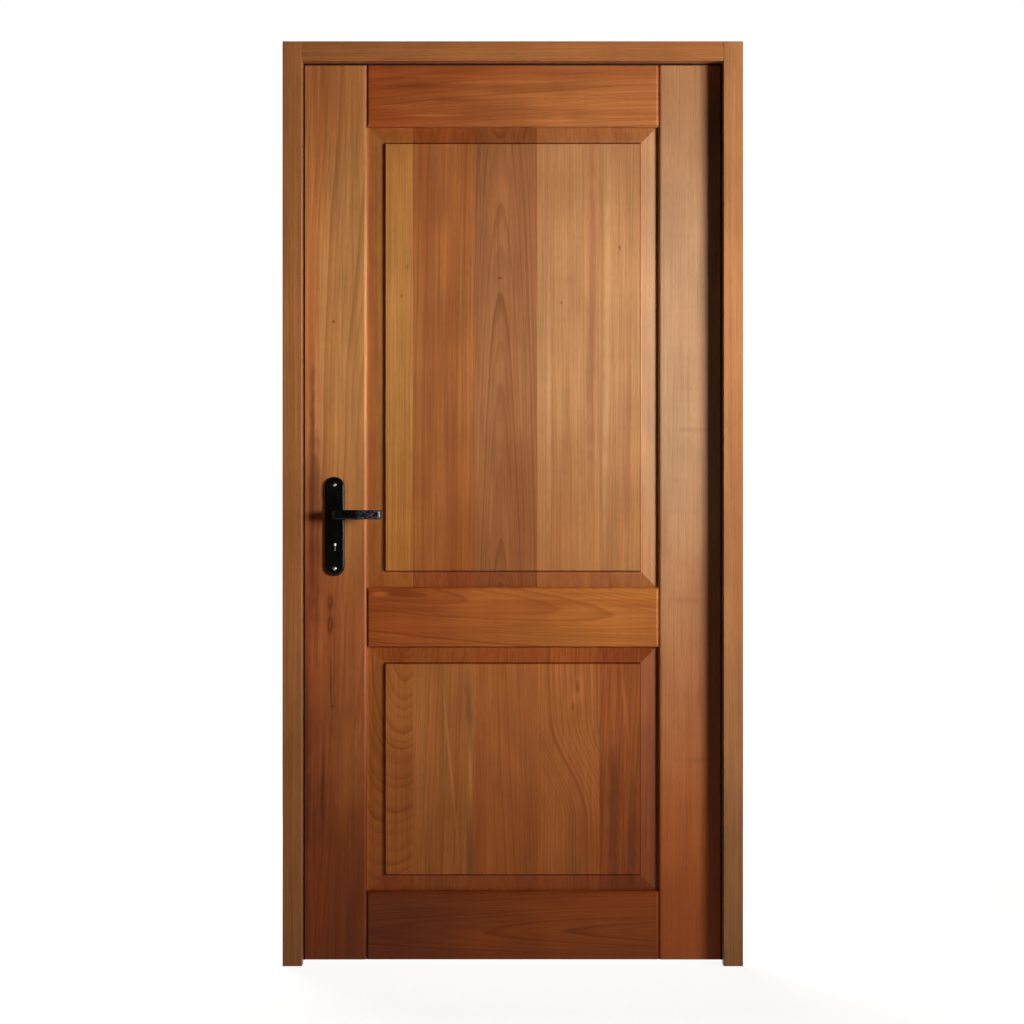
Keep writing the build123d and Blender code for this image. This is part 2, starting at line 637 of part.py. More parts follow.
def lock_cover():
    """Flat cover of the case, drilled for its screws."""
    body = block((FOREND_BACK, CASE_BACK), (-CASE_FACE, -CASE_INSIDE), (CASE_BOTTOM, CASE_TOP))
    for x, z in cover_screw_places():
        body -= cover_screw(x, z)
    return body - hub_and_key_ways((-CASE_FACE - OVERRUN, 0))


def cover_screw(x, z):
    """Small screw with a flat head sunk flush in the cover."""
    face = (x, -CASE_FACE, z)
    head = rod(COVER_SCREW_HEAD_R, face, (0, 1, 0), COVER_SCREW_HEAD_HEIGHT)
    return head + rod(COVER_SCREW_R, face, (0, 1, 0), CASE_SHEET + COVER_SCREW_LENGTH)


def forend_screw_starts():
    """Heads of the forend's two screws."""
    reach = FOREND_HALF - FOREND_SCREW_INSET
    return [(-LEAF_EDGE, 0, CASE_MIDDLE + side * reach) for side in (-1, 1)]


def forend():
    """Face plate of the lock, let into the edge of the stile."""
    span_x = (-LEAF_EDGE, FOREND_BACK)
    body = block(span_x, about(0, FOREND_WIDTH / 2), about(CASE_MIDDLE, FOREND_HALF))
    body -= bolt_ways((span_x[0] - OVERRUN, span_x[1] + OVERRUN), BOLT_WAY_PLAY)
    return body - [countersunk(start, (1, 0, 0), SCREW_PLAY) for start in forend_screw_starts()]


def lock_hub():
    """Hub on the spindle, with an arm for the latch above and a toe for its spring below."""
    side = CASE_INSIDE - HUB_SIDE_PLAY
    body = cross_rod(HUB_R, HANDLE_HEIGHT, about(0, side))
    body += cross_rod(JOURNAL_R, HANDLE_HEIGHT, about(0, CASE_FACE))
    arms_z = (HANDLE_HEIGHT - TOE_REACH, HANDLE_HEIGHT + ARM_REACH)
    body += block(about(HANDLE_X, ARM_HALF_WIDTH), about(0, ARM_HALF_THICK), arms_z)
    return body - square_way((-CASE_FACE - OVERRUN, CASE_FACE + OVERRUN), SPINDLE_PLAY)


def latch_bolt():
    """Latch with its bevel towards the stop, and a tail with a lug that the hub's arm pulls back."""
    half = LATCH_THICK / 2
    nose = half - (LATCH_THICK - LATCH_BEVEL)
    outline = Polyline((LATCH_HEEL, -half), (LATCH_HEEL, half), (LATCH_TIP, half), (LATCH_TIP, nose),
                       (-LEAF_EDGE, -half), close=True)
    body = extrude(Pos(0, 0, LATCH_Z - LATCH_HEIGHT / 2) * make_face(outline), LATCH_HEIGHT)
    tail_z = about(LATCH_Z, TAIL_HEIGHT / 2)
    body += block((LATCH_HEEL - OVERRUN, TAIL_END), (half - TAIL_THICK, half), tail_z)
    lug_x = (LUG_X, LUG_X + LUG_LENGTH)
    return body + block(lug_x, (-ARM_HALF_THICK, half), (tail_z[0] - LUG_DROP, tail_z[1]))


def deadbolt():
    """Deadbolt, drawn back, with a tail notched for the key's bit."""
    heel = DEADBOLT_TIP + DEADBOLT_HEAD_LENGTH
    body = bolt_way(DEADBOLT_Z, DEADBOLT_HEIGHT, DEADBOLT_THICK, (DEADBOLT_TIP, heel), 0)
    tail_z = about(DEADBOLT_Z, DEADBOLT_TAIL_HEIGHT / 2)
    tail_y = (DEADBOLT_THICK / 2 - TAIL_THICK, DEADBOLT_THICK / 2)
    body += block((heel - OVERRUN, heel + DEADBOLT_TAIL_LENGTH), tail_y, tail_z)
    notch_z = (tail_z[0] - OVERRUN, tail_z[0] + TALON_DEPTH)
    return body - block(about(HANDLE_X, TALON_WIDTH / 2), (tail_y[0] - OVERRUN, tail_y[1] + OVERRUN), notch_z)


def strip_spring(*points):
    """Flat spring bent from strip, standing across the lock case."""
    line = FilletPolyline(*points, radius=SPRING_BEND_R)
    return extrude(Plane.XZ * trace(line, SPRING_STRIP), SPRING_WIDTH / 2, both=True)


def hub_spring_posts_x():
    """X of the hub spring's two legs, at the toe and at its post."""
    near = HANDLE_X - ARM_HALF_WIDTH - SPRING_GAP - SPRING_STRIP / 2
    return near, near - HUB_SPRING_SPAN


def detent_line():
    """Height of the detent spring's strip and X of its post."""
    height = DEADBOLT_Z + DEADBOLT_TAIL_HEIGHT / 2 + DETENT_RISE
    return height, HANDLE_X - DETENT_SETBACK


def spring_posts():
    """Posts that carry the hub spring and the detent spring."""
    reach = SPRING_STRIP / 2 + SPRING_GAP + POST_R
    height, post_x = detent_line()
    return [(hub_spring_posts_x()[1] - reach, HANDLE_HEIGHT - TOE_REACH), (post_x, height + reach)]


def hub_spring():
    """Bent spring between the hub's toe and its post."""
    near, far = hub_spring_posts_x()
    top = HANDLE_HEIGHT - TOE_REACH + ARM_HALF_WIDTH
    return strip_spring((near, top), (near, top - HUB_SPRING_DROP), (far, top - HUB_SPRING_DROP), (far, top))


def latch_spring():
    """Bent spring between the end of the latch's tail and the back of the case."""
    near = TAIL_END + SPRING_GAP + SPRING_STRIP / 2
    far = CASE_BACK - CASE_SHEET - SPRING_GAP - SPRING_STRIP / 2
    foot = LATCH_Z - LATCH_SPRING_DROP
    return strip_spring((near, LATCH_Z), (near, foot), (far, foot), (far, LATCH_Z))


def detent_spring():
    """Spring on a post, with a nose that bears on the deadbolt's tail."""
    height, post_x = detent_line()
    nose = DEADBOLT_Z + DEADBOLT_TAIL_HEIGHT / 2 + SPRING_GAP + SPRING_STRIP / 2
    nose_x = post_x + DETENT_FOOT + DETENT_NOSE
    return strip_spring((post_x - DETENT_FOOT, height), (nose_x - DETENT_NOSE, height), (nose_x, nose),
                        (nose_x + DETENT_NOSE, height))


# Strike plate

def strike_screw_starts():
    """Heads of the strike plate's two screws."""
    reach = STRIKE_LENGTH / 2 - STRIKE_SCREW_INSET
    return [(-REBATE_EDGE, 0, CASE_MIDDLE + side * reach) for side in (-1, 1)]


def strike_blank(play=0):
    """Strike plate before its holes, or with play the recess for it."""
    span_x = (-REBATE_EDGE - STRIKE_THICK, -REBATE_EDGE)
    return block(span_x, about(0, STRIKE_WIDTH / 2 + play), about(CASE_MIDDLE, STRIKE_LENGTH / 2 + play))


def strike_holes():
    """Holes in the strike plate and the pockets behind them."""
    return bolt_ways((-REBATE_EDGE - POCKET_DEPTH, -REBATE_EDGE + OVERRUN), STRIKE_HOLE_PLAY)


# Assembly

os.makedirs("parts", exist_ok=True)

hinge_frame_x = (REBATE_EDGE, REBATE_EDGE + HINGE_FLAP_THICK)
hinge_leaf_x = (LEAF_EDGE - HINGE_FLAP_THICK, LEAF_EDGE)
frame_screw_starts = [start for height in HINGE_CENTRES for start in hinge_screw_starts(REBATE_EDGE, height)]
leaf_screw_starts = [start for height in HINGE_CENTRES for start in hinge_screw_starts(LEAF_EDGE, height)]
frame_screw_holes = [countersunk(start, (1, 0, 0), SCREW_PLAY) for start in frame_screw_starts]
leaf_screw_holes = [countersunk(start, (-1, 0, 0), SCREW_PLAY) for start in leaf_screw_starts]
strike_screw_holes = [countersunk(start, (-1, 0, 0), SCREW_PLAY) for start in strike_screw_starts()]
forend_screw_holes = [countersunk(start, (1, 0, 0), SCREW_PLAY) for start in forend_screw_starts()]

hinge_jamb = drilled_jamb()
lock_jamb = mirror(hinge_jamb, about=Plane.YZ) - strike_blank(RECESS_PLAY)
hinge_jamb -= [flap_blank(hinge_frame_x, height, RECESS_PLAY) for height in HINGE_CENTRES]
save("lock_jamb", lock_jamb - strike_holes() - strike_screw_holes)
save("hinge_jamb", hinge_jamb - frame_screw_holes)
save("frame_head", frame_head())
save("frame_seal", *seal_strips())
save("strike_plate", strike_blank() - strike_holes() - strike_screw_holes)
save("strike_screws", *[countersunk(start, (-1, 0, 0)) for start in strike_screw_starts()])

lock_stile = lock_side_stile()
hinge_stile = mirror(lock_stile, about=Plane.YZ)
hinge_stile -= [flap_blank(hinge_leaf_x, height, RECESS_PLAY) for height in HINGE_CENTRES]
save("hinge_stile", hinge_stile - leaf_screw_holes)

pocket_x = (-LEAF_EDGE - OVERRUN, CASE_BACK + CASE_POCKET_PLAY)
pocket_z = (CASE_BOTTOM - CASE_POCKET_PLAY, CASE_TOP + CASE_POCKET_PLAY)
recess_y = about(0, FOREND_WIDTH / 2 + RECESS_PLAY)
recess_z = about(CASE_MIDDLE, FOREND_HALF + RECESS_PLAY)
stile_y = about(0, LEAF_FACE + OVERRUN)
lock_ways = [
    block(pocket_x, about(0, CASE_FACE + CASE_POCKET_PLAY), pocket_z),
    block((-LEAF_EDGE - OVERRUN, FOREND_BACK), recess_y, recess_z),
    keyhole(stile_y, KEYHOLE_WOOD_PLAY),
    cross_rod(SPINDLE_HOLE_R, HANDLE_HEIGHT, stile_y),
]
lock_ways += [cross_rod(SLEEVE_R + SLEEVE_HOLE_PLAY, height, stile_y) for height in BOLT_HEIGHTS]
save("lock_stile", lock_stile - lock_ways - forend_screw_holes)

# The lock's mortise also cuts the tenons that it meets
for rail_name, rail_span in RAILS.items():
    save(rail_name, rail(*rail_span) - lock_ways)
for panel_name, opening in zip(("lower_panel", "upper_panel"), OPENINGS):
    for number, board in enumerate(boards(panel(*opening)), start=1):
        save(f"{panel_name}_board_{number}", board)

for hinge_name, hinge_height in zip(("lower", "middle", "upper"), HINGE_CENTRES):
    save(f"{hinge_name}_hinge_frame_flap", hinge_flap(hinge_frame_x, hinge_height, 0) - frame_screw_holes)
    save(f"{hinge_name}_hinge_leaf_flap", hinge_flap(hinge_leaf_x, hinge_height, 1) - leaf_screw_holes)
    save(f"{hinge_name}_hinge_pin", hinge_pin(hinge_height))
save("hinge_frame_screws", *[countersunk(start, (1, 0, 0)) for start in frame_screw_starts])
save("hinge_leaf_screws", *[countersunk(start, (-1, 0, 0)) for start in leaf_screw_starts])

for side_name, plate, lever in zip(("front", "rear"), both_sides(front_plate()), both_sides(front_lever())):
    save(f"{side_name}_plate", plate)
    save(f"{side_name}_lever", lever)
save("plate_bolts", *[plate_bolt(height) for height in BOLT_HEIGHTS])
save("plate_sleeve_nuts", *[sleeve_nut(height) for height in BOLT_HEIGHTS])
save("lever_clips", *both_sides(front_clip()))
save("lever_grub_screws", *both_sides(front_grub()))
save("spindle", square_way(about(0, LEAF_FACE + SPINDLE_ENTRY)))

save("lock_case", lock_case())
save("lock_cover", lock_cover())
save("lock_cover_screws", *[cover_screw(x, z) for x, z in cover_screw_places()])
save("lock_forend", forend())
save("forend_screws", *[countersunk(start, (1, 0, 0)) for start in forend_screw_starts()])
save("lock_hub", lock_hub())
save("latch_bolt", latch_bolt())
save("deadbolt", deadbolt())
save("hub_spring", hub_spring())
save("latch_spring", latch_spring())
save("deadbolt_spring", detent_spring())
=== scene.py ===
"""Looks of a framed wooden door: its woods, black lever set and hinges, lock, screws and studio."""
import logging
from dataclasses import dataclass
from enum import Enum
from math import radians
from typing import Optional, Union

import bpy
from mathutils import Matrix, Vector


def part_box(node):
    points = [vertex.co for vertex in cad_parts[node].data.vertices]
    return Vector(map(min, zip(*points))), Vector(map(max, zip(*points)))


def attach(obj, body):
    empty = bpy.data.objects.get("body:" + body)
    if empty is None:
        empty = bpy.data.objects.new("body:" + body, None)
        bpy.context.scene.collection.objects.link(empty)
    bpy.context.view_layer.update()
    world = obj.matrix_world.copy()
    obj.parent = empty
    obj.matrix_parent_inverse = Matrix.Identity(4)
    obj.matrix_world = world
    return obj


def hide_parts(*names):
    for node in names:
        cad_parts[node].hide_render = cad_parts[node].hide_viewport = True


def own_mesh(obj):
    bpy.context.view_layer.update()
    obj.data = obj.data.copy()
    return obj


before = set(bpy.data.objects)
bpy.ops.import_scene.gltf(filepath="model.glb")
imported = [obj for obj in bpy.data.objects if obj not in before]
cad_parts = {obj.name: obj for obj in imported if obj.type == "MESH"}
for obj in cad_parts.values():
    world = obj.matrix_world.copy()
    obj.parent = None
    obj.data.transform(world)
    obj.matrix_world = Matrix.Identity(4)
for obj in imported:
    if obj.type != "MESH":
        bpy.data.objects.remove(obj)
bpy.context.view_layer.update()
LOG = logging.getLogger("wood_door")

Colour = tuple[float, float, float, float]
Shares = tuple[float, float, float]
Point = tuple[float, float, float]

SCREEN_WHITE = 255
SCREEN_KNEE = 0.04045
SCREEN_SLOPE = 12.92
SCREEN_SHIFT = 0.055
SCREEN_POWER = 2.4
LEAF_FACE = 0.022
HINGE_HEIGHTS = (0.25, 1.08, 1.86)
MERGE = 1e-6
SMOOTH_ANGLE = radians(30.0)


def tone(red: int, green: int, blue: int) -> Colour:
    """Turns a colour as a screen shows it into the shader's own scale.

    Args:
        red: Red from 0 to 255.
        green: Green from 0 to 255.
        blue: Blue from 0 to 255.

    Returns:
        The colour with its alpha, ready for a colour socket.
    """
    parts = [value / SCREEN_WHITE for value in (red, green, blue)]
    light = [
        part / SCREEN_SLOPE if part <= SCREEN_KNEE
        else ((part + SCREEN_SHIFT) / (1.0 + SCREEN_SHIFT)) ** SCREEN_POWER
        for part in parts
    ]
    return (light[0], light[1], light[2], 1.0)


def shaded(colour: Colour, shares: Shares) -> Colour:
    """Takes a share of each part of a colour.

    Args:
        colour: The colour to start from.
        shares: What is left of red, green and blue.

    Returns:
        The shaded colour.
    """
    return (colour[0] * shares[0], colour[1] * shares[1], colour[2] * shares[2], 1.0)


class Wire:
    """A shader value on which sums can be written; each sum adds its Math node."""

    def __init__(self, graph: "Graph", socket: bpy.types.NodeSocket) -> None:
        """Keeps the graph and the output socket that carries the value."""
        self.graph = graph
        self.socket = socket

    def __add__(self, other: "Term") -> "Wire":
        """Sum of two values."""
        return self.graph.math("ADD", self, other)

    def __radd__(self, other: "Term") -> "Wire":
        """Sum with the plain number first."""
        return self.graph.math("ADD", other, self)

    def __sub__(self, other: "Term") -> "Wire":
        """Difference of two values."""
        return self.graph.math("SUBTRACT", self, other)

    def __rsub__(self, other: "Term") -> "Wire":
        """Difference with the plain number first."""
        return self.graph.math("SUBTRACT", other, self)

    def __mul__(self, other: "Term") -> "Wire":
        """Product of two values."""
        return self.graph.math("MULTIPLY", self, other)

    def __truediv__(self, other: "Term") -> "Wire":
        """Quotient of two values."""
        return self.graph.math("DIVIDE", self, other)

    def __pow__(self, other: "Term") -> "Wire":
        """Power of a value."""
        return self.graph.math("POWER", self, other)


Term = Union[Wire, float]


class Graph:
    """Node tree of one material or of the world."""

    def __init__(self, owner: Union[bpy.types.Material, bpy.types.World]) -> None:
        """Empties the owner's node tree and keeps it.

        Args:
            owner: The material or world whose nodes are written.
        """
        owner.use_nodes = True
        self.tree = owner.node_tree
        self.tree.nodes.clear()

    def node(self, kind: str, settings: Optional[dict] = None, sockets: Optional[dict] = None) -> bpy.types.Node:
        """Adds any node.

        Args:
            kind: The node's type.
            settings: Its own settings, set first; "stops" gives a ramp's places and greys.
            sockets: Values or wires for its inputs, by identifier or name.

        Returns:
            The new node.
        """
        made = self.tree.nodes.new(kind)
        for name, value in (settings or {}).items():
            if name == "stops":
                self._set_stops(made.color_ramp.elements, value)
            else:
                setattr(made, name, value)
        for name, value in (sockets or {}).items():
            socket = self._find(made.inputs, name)
            if isinstance(value, Wire):
                self.tree.links.new(value.socket, socket)
            else:
                socket.default_value = value
        return made

    def wire(self, node: bpy.types.Node, output: str) -> Wire:
        """Wire from one of a node's outputs."""
        return Wire(self, self._find(node.outputs, output))

    @staticmethod
    def _find(sockets: bpy.types.bpy_prop_collection, name: str) -> bpy.types.NodeSocket:
        """Socket with that identifier, or else with that name."""
        exact = [socket for socket in sockets if socket.identifier == name]
        return (exact or [socket for socket in sockets if socket.name == name])[0]

    @staticmethod
    def _set_stops(elements: bpy.types.ColorRampElements, stops: tuple[tuple[float, float], ...]) -> None:
        """Sets a ramp's stops from pairs of place and grey."""
        while len(elements) < len(stops):
            elements.new(1.0)
        for element, (place, grey) in zip(elements, stops):
            element.position = place
            element.color = (grey, grey, grey, 1.0)

    def math(self, operation: str, *terms: Term) -> Wire:
        """Adds a Math node.

        Args:
            operation: The node's operation.
            terms: Wires or numbers for its inputs, in order.

        Returns:
            The result.
        """
        made = self.node("ShaderNodeMath", {"operation": operation})
        for socket, term in zip(made.inputs, terms):
            if isinstance(term, Wire):
                self.tree.links.new(term.socket, socket)
            else:
                socket.default_value = term
        return Wire(self, made.outputs[0])

    def place(self) -> tuple[Wire, Wire, Wire]:
        """X, Y and Z of the shaded point, in the object's own coordinates."""
        coordinates = self.node("ShaderNodeTexCoord")
        parts = self.node("ShaderNodeSeparateXYZ", None, {"Vector": self.wire(coordinates, "Object")})
        return self.wire(parts, "X"), self.wire(parts, "Y"), self.wire(parts, "Z")

    def noise(self, x: Term, y: Term, z: Term, detail: float = 2.0) -> Wire:
        """Soft noise, about one bump to each unit.

        Args:
            x: First coordinate.
            y: Second coordinate.
            z: Third coordinate.
            detail: How many finer layers are added.

        Returns:
            The noise, from 0 to 1 with its middle near a half.
        """
        at = self.node("ShaderNodeCombineXYZ", None, {"X": x, "Y": y, "Z": z})
        sockets = {"Vector": self.wire(at, "Vector"), "Scale": 1.0, "Detail": detail}
        return self.wire(self.node("ShaderNodeTexNoise", None, sockets), "Fac")

    def line_noise(self, at: Term) -> Wire:
        """Soft noise along one line."""
        settings = {"noise_dimensions": "1D"}
        return self.wire(self.node("ShaderNodeTexNoise", settings, {"W": at, "Scale": 1.0, "Detail": 1.0}), "Fac")

    def span(self, value: Wire, low: float, high: float, first: float = 0.0, last: float = 1.0) -> Wire:
        """Smooth step of a value between two levels.

        Args:
            value: The value that rises.
            low: Where the step starts.
            high: Where the step ends.
            first: Result below the step.
            last: Result above the step.

        Returns:
            The stepped value.
        """
        sockets = {"Value": value, "From Min": low, "From Max": high, "To Min": first, "To Max": last}
        return self.wire(self.node("ShaderNodeMapRange", {"interpolation_type": "SMOOTHSTEP"}, sockets), "Result")

    def ramp(self, value: Wire, stops: tuple[tuple[float, float], ...]) -> Wire:
        """Grey ramp of a value."""
        return self.wire(self.node("ShaderNodeValToRGB", {"stops": stops}, {"Fac": value}), "Color")

    def blend(self, share: Term, first: Union[Wire, Colour], second: Union[Wire, Colour]) -> Wire:
        """Mix of two colours.

        Args:
            share: How much of the second colour shows.
            first: Colour at a share of 0.
            second: Colour at a share of 1.

        Returns:
            The mixed colour.
        """
        sockets = {"Factor_Float": share, "A_Color": first, "B_Color": second}
        return self.wire(self.node("ShaderNodeMix", {"data_type": "RGBA"}, sockets), "Result_Color")

    def dim(self, colour: Wire, level: Wire) -> Wire:
        """Colour times a grey level."""
        grey = self.node("ShaderNodeCombineColor", None, {"Red": level, "Green": level, "Blue": level})
        settings = {"data_type": "RGBA", "blend_type": "MULTIPLY"}
        sockets = {"Factor_Float": 1.0, "A_Color": colour, "B_Color": self.wire(grey, "Color")}
        return self.wire(self.node("ShaderNodeMix", settings, sockets), "Result_Color")

    def tint(self, share: Wire, colour: Wire, shares: Shares) -> Wire:
        """Colour whose parts fall to the given shares.

        Args:
            share: How much of the change shows.
            colour: The colour to change.
            shares: What is left of red, green and blue where the change is whole.

        Returns:
            The changed colour.
        """
        settings = {"data_type": "RGBA", "blend_type": "MULTIPLY"}
        sockets = {"Factor_Float": share, "A_Color": colour, "B_Color": (*shares, 1.0)}
        return self.wire(self.node("ShaderNodeMix", settings, sockets), "Result_Color")

    def slope(self, axis: str) -> Wire:
        """How far the surface turns towards either end of an axis, from 0 to 1."""
        normal = self.wire(self.node("ShaderNodeTexCoord"), "Normal")
        parts = self.node("ShaderNodeSeparateXYZ", None, {"Vector": normal})
        return self.math("ABSOLUTE", self.wire(parts, axis))

    def surface(self, sockets: dict, height: Optional[Wire] = None,
                relief: float = 0.0, depth: float = 0.0) -> None:
        """Ends the material in its shader.

        Args:
            sockets: Values and wires of the shader's own sockets.
            height: Relief of the surface, if it has one.
            relief: Strength of the relief.
            depth: Height of the relief, in metres.
        """
        if height is not None:
            bump = self.node("ShaderNodeBump", None, {"Strength": relief, "Distance": depth, "Height": height})
            sockets = {**sockets, "Normal": self.wire(bump, "Normal")}
        shader = self.node("ShaderNodeBsdfPrincipled", None, sockets)
        self.node("ShaderNodeOutputMaterial", None, {"Surface": self.wire(shader, "BSDF")})


def assign(name: str, material: bpy.types.Material) -> None:
    """Gives a CAD node its finish.

    Args:
        name: The node's name.
        material: The finish.
    """
    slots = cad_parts[name].data.materials
    slots.clear()
    slots.append(material)


def copied(node: str, name: str) -> bpy.types.Object:
    """Copies a CAD node's mesh, with its triangles joined, as a loose piece to stand in the node's place.

    Args:
        node: The node's name.
        name: The new piece's name.

    Returns:
        The loose piece.
    """
    bpy.ops.object.select_all(action="DESELECT")
    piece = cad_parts[node].copy()
    piece.data = piece.data.copy()
    piece.parent = None
    for key in list(piece.keys()):
        del piece[key]
    piece.name = name
    bpy.context.scene.collection.objects.link(piece)
    piece.select_set(True)
    bpy.context.view_layer.objects.active = piece
    bpy.ops.object.mode_set(mode="EDIT")
    bpy.ops.mesh.select_all(action="SELECT")
    bpy.ops.mesh.remove_doubles(threshold=MERGE)
    bpy.ops.mesh.dissolve_degenerate(threshold=MERGE)
    bpy.ops.object.mode_set(mode="OBJECT")
    return piece


def settle(piece: bpy.types.Object, node: str, body: str, finish: bpy.types.Material) -> None:
    """Finishes a piece and puts it in place of a CAD node.

    Args:
        piece: The modelled piece.
        node: The node that it replaces.
        body: The body that it rides on.
        finish: The piece's finish.
    """
    piece.data.materials.clear()
    piece.data.materials.append(finish)
    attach(piece, body)
    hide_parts(node)


@dataclass(frozen=True)
class Fleck:
    """Noise drawn out along the grain, with its bumps to the metre across and along it.

    The low and the high are the levels between which it comes to show, and the share is how much of it shows.
    """

    across: float
    along: float
    detail: float = 2.0
    low: float = 0.0
    high: float = 1.0
    share: float = 1.0

    def noise(self, graph: Graph, at: tuple[Wire, Wire, Wire], shift: float = 0.0) -> Wire:
        """Writes the plain noise, before any cover is taken from it.

        Args:
            graph: The material's nodes.
            at: Place across, behind and along the grain.
            shift: How far the noise is moved along the grain.

        Returns:
            The noise, from 0 to 1 with its middle near a half.
        """
        across, depth, along = at
        return graph.noise(across * self.across, depth * self.across, along * self.along + shift, self.detail)

    def cover(self, graph: Graph, noise: Wire) -> Wire:
        """How far the noise shows, from 0 to 1."""
        return graph.span(noise, self.low, self.high)


NOISE_MIDDLE = 0.5
SEED_PITCH = 3.0

SWAY = Fleck(4.0, 1.6, 1.0)
SWAY_APART = 1.825
KINK = Fleck(55.0, 6.0)
KINK_DEPTH = 0.0014
RING_PACE = 0.31
RING_SPREAD = 2.4
LATE_STOPS = ((0.0, 0.10), (0.45, 0.22), (0.86, 1.0), (0.95, 0.75), (1.0, 0.10))
YEAR_PACE = 0.73
YEAR_SPAN = (0.3, 0.7, 0.30, 1.0)

BAND = Fleck(26.0, 0.9, low=0.44, high=0.66)
FIBRE = Fleck(240.0, 3.5, low=0.45, high=0.72, share=0.34)
THREAD = Fleck(800.0, 16.0, 1.0, low=0.42, high=0.75, share=0.22)
PORE = Fleck(1250.0, 42.0, 0.0, low=0.63, high=0.74, share=0.32)
CLOUD = Fleck(9.0, 5.0, low=0.25, high=0.75)
CLOUD_LEVELS = (0.88, 1.10)
RIPPLE = Fleck(70.0, 24.0)
RIBBON = Fleck(95.0, 2.4, low=0.30, high=0.70)

MARK_SPAN = (0.15, 1.0)
MARK_RIPPLE = 0.9
FADE_RIPPLE = 0.2
END_SPAN = (0.05, 0.16)
COVE_PAINTED_SHADE_SPAN = (0.24, 0.55)
PORE_HEIGHT, LATE_HEIGHT, THREAD_HEIGHT = 0.6, 0.25, 0.3
PORE_ROUGHNESS, THREAD_ROUGHNESS = 0.12, 0.10

DUST = Fleck(90.0, 12.0, 3.0, low=0.45, high=0.75, share=0.5)
SKIN = Fleck(1500.0, 500.0, 1.0)
HANDLING = Fleck(38.0, 24.0, 3.0, low=0.45, high=0.75, share=0.5)
PAINTED_SHEEN = Fleck(180.0, 320.0, 3.0, low=0.42, high=0.62, share=0.8)
PAINTED_SHEEN_REACH = 0.016
DULLNESS = Fleck(55.0, 40.0, 3.0, low=0.40, high=0.72, share=0.7)


class Grain(Enum):
    """Which way the fibres of a piece run."""

    UPRIGHT = "Z"
    LEVEL = "X"


@dataclass(frozen=True)
class Cut:
    """How a board lay in its log: where the heart is from the middle of its front face, in metres.

    The climb and the drift are how far the heart moves behind and across the board in each metre along it, and
    the bend is how far the grain swerves across the board within its reach along it.
    """

    across: float = 0.3
    depth: float = 0.1
    climb: float = 0.0
    drift: float = 0.0
    ring: float = 0.0045
    wander: float = 0.016
    contrast: float = 0.4
    bend: float = 0.0
    bend_reach: tuple[float, float] = (-0.1, 0.1)


@dataclass(frozen=True)
class Mark:
    """Dark or pale oval patch blended into the colour, as seen from the front, in metres."""

    x: float
    z: float
    half_x: float
    half_z: float
    strength: float
    shares: Shares = (0.42, 0.30, 0.26)
    lean: float = 0.0


@dataclass(frozen=True)
class PaintedFalloff:
    """Painted light falloff: slow change of colour along the grain, none at the start and whole at the end, in
    metres, standing in for the key lamp's light growing weaker towards the foot, the top or the far side.
    """

    start: float
    end: float
    shares: Shares


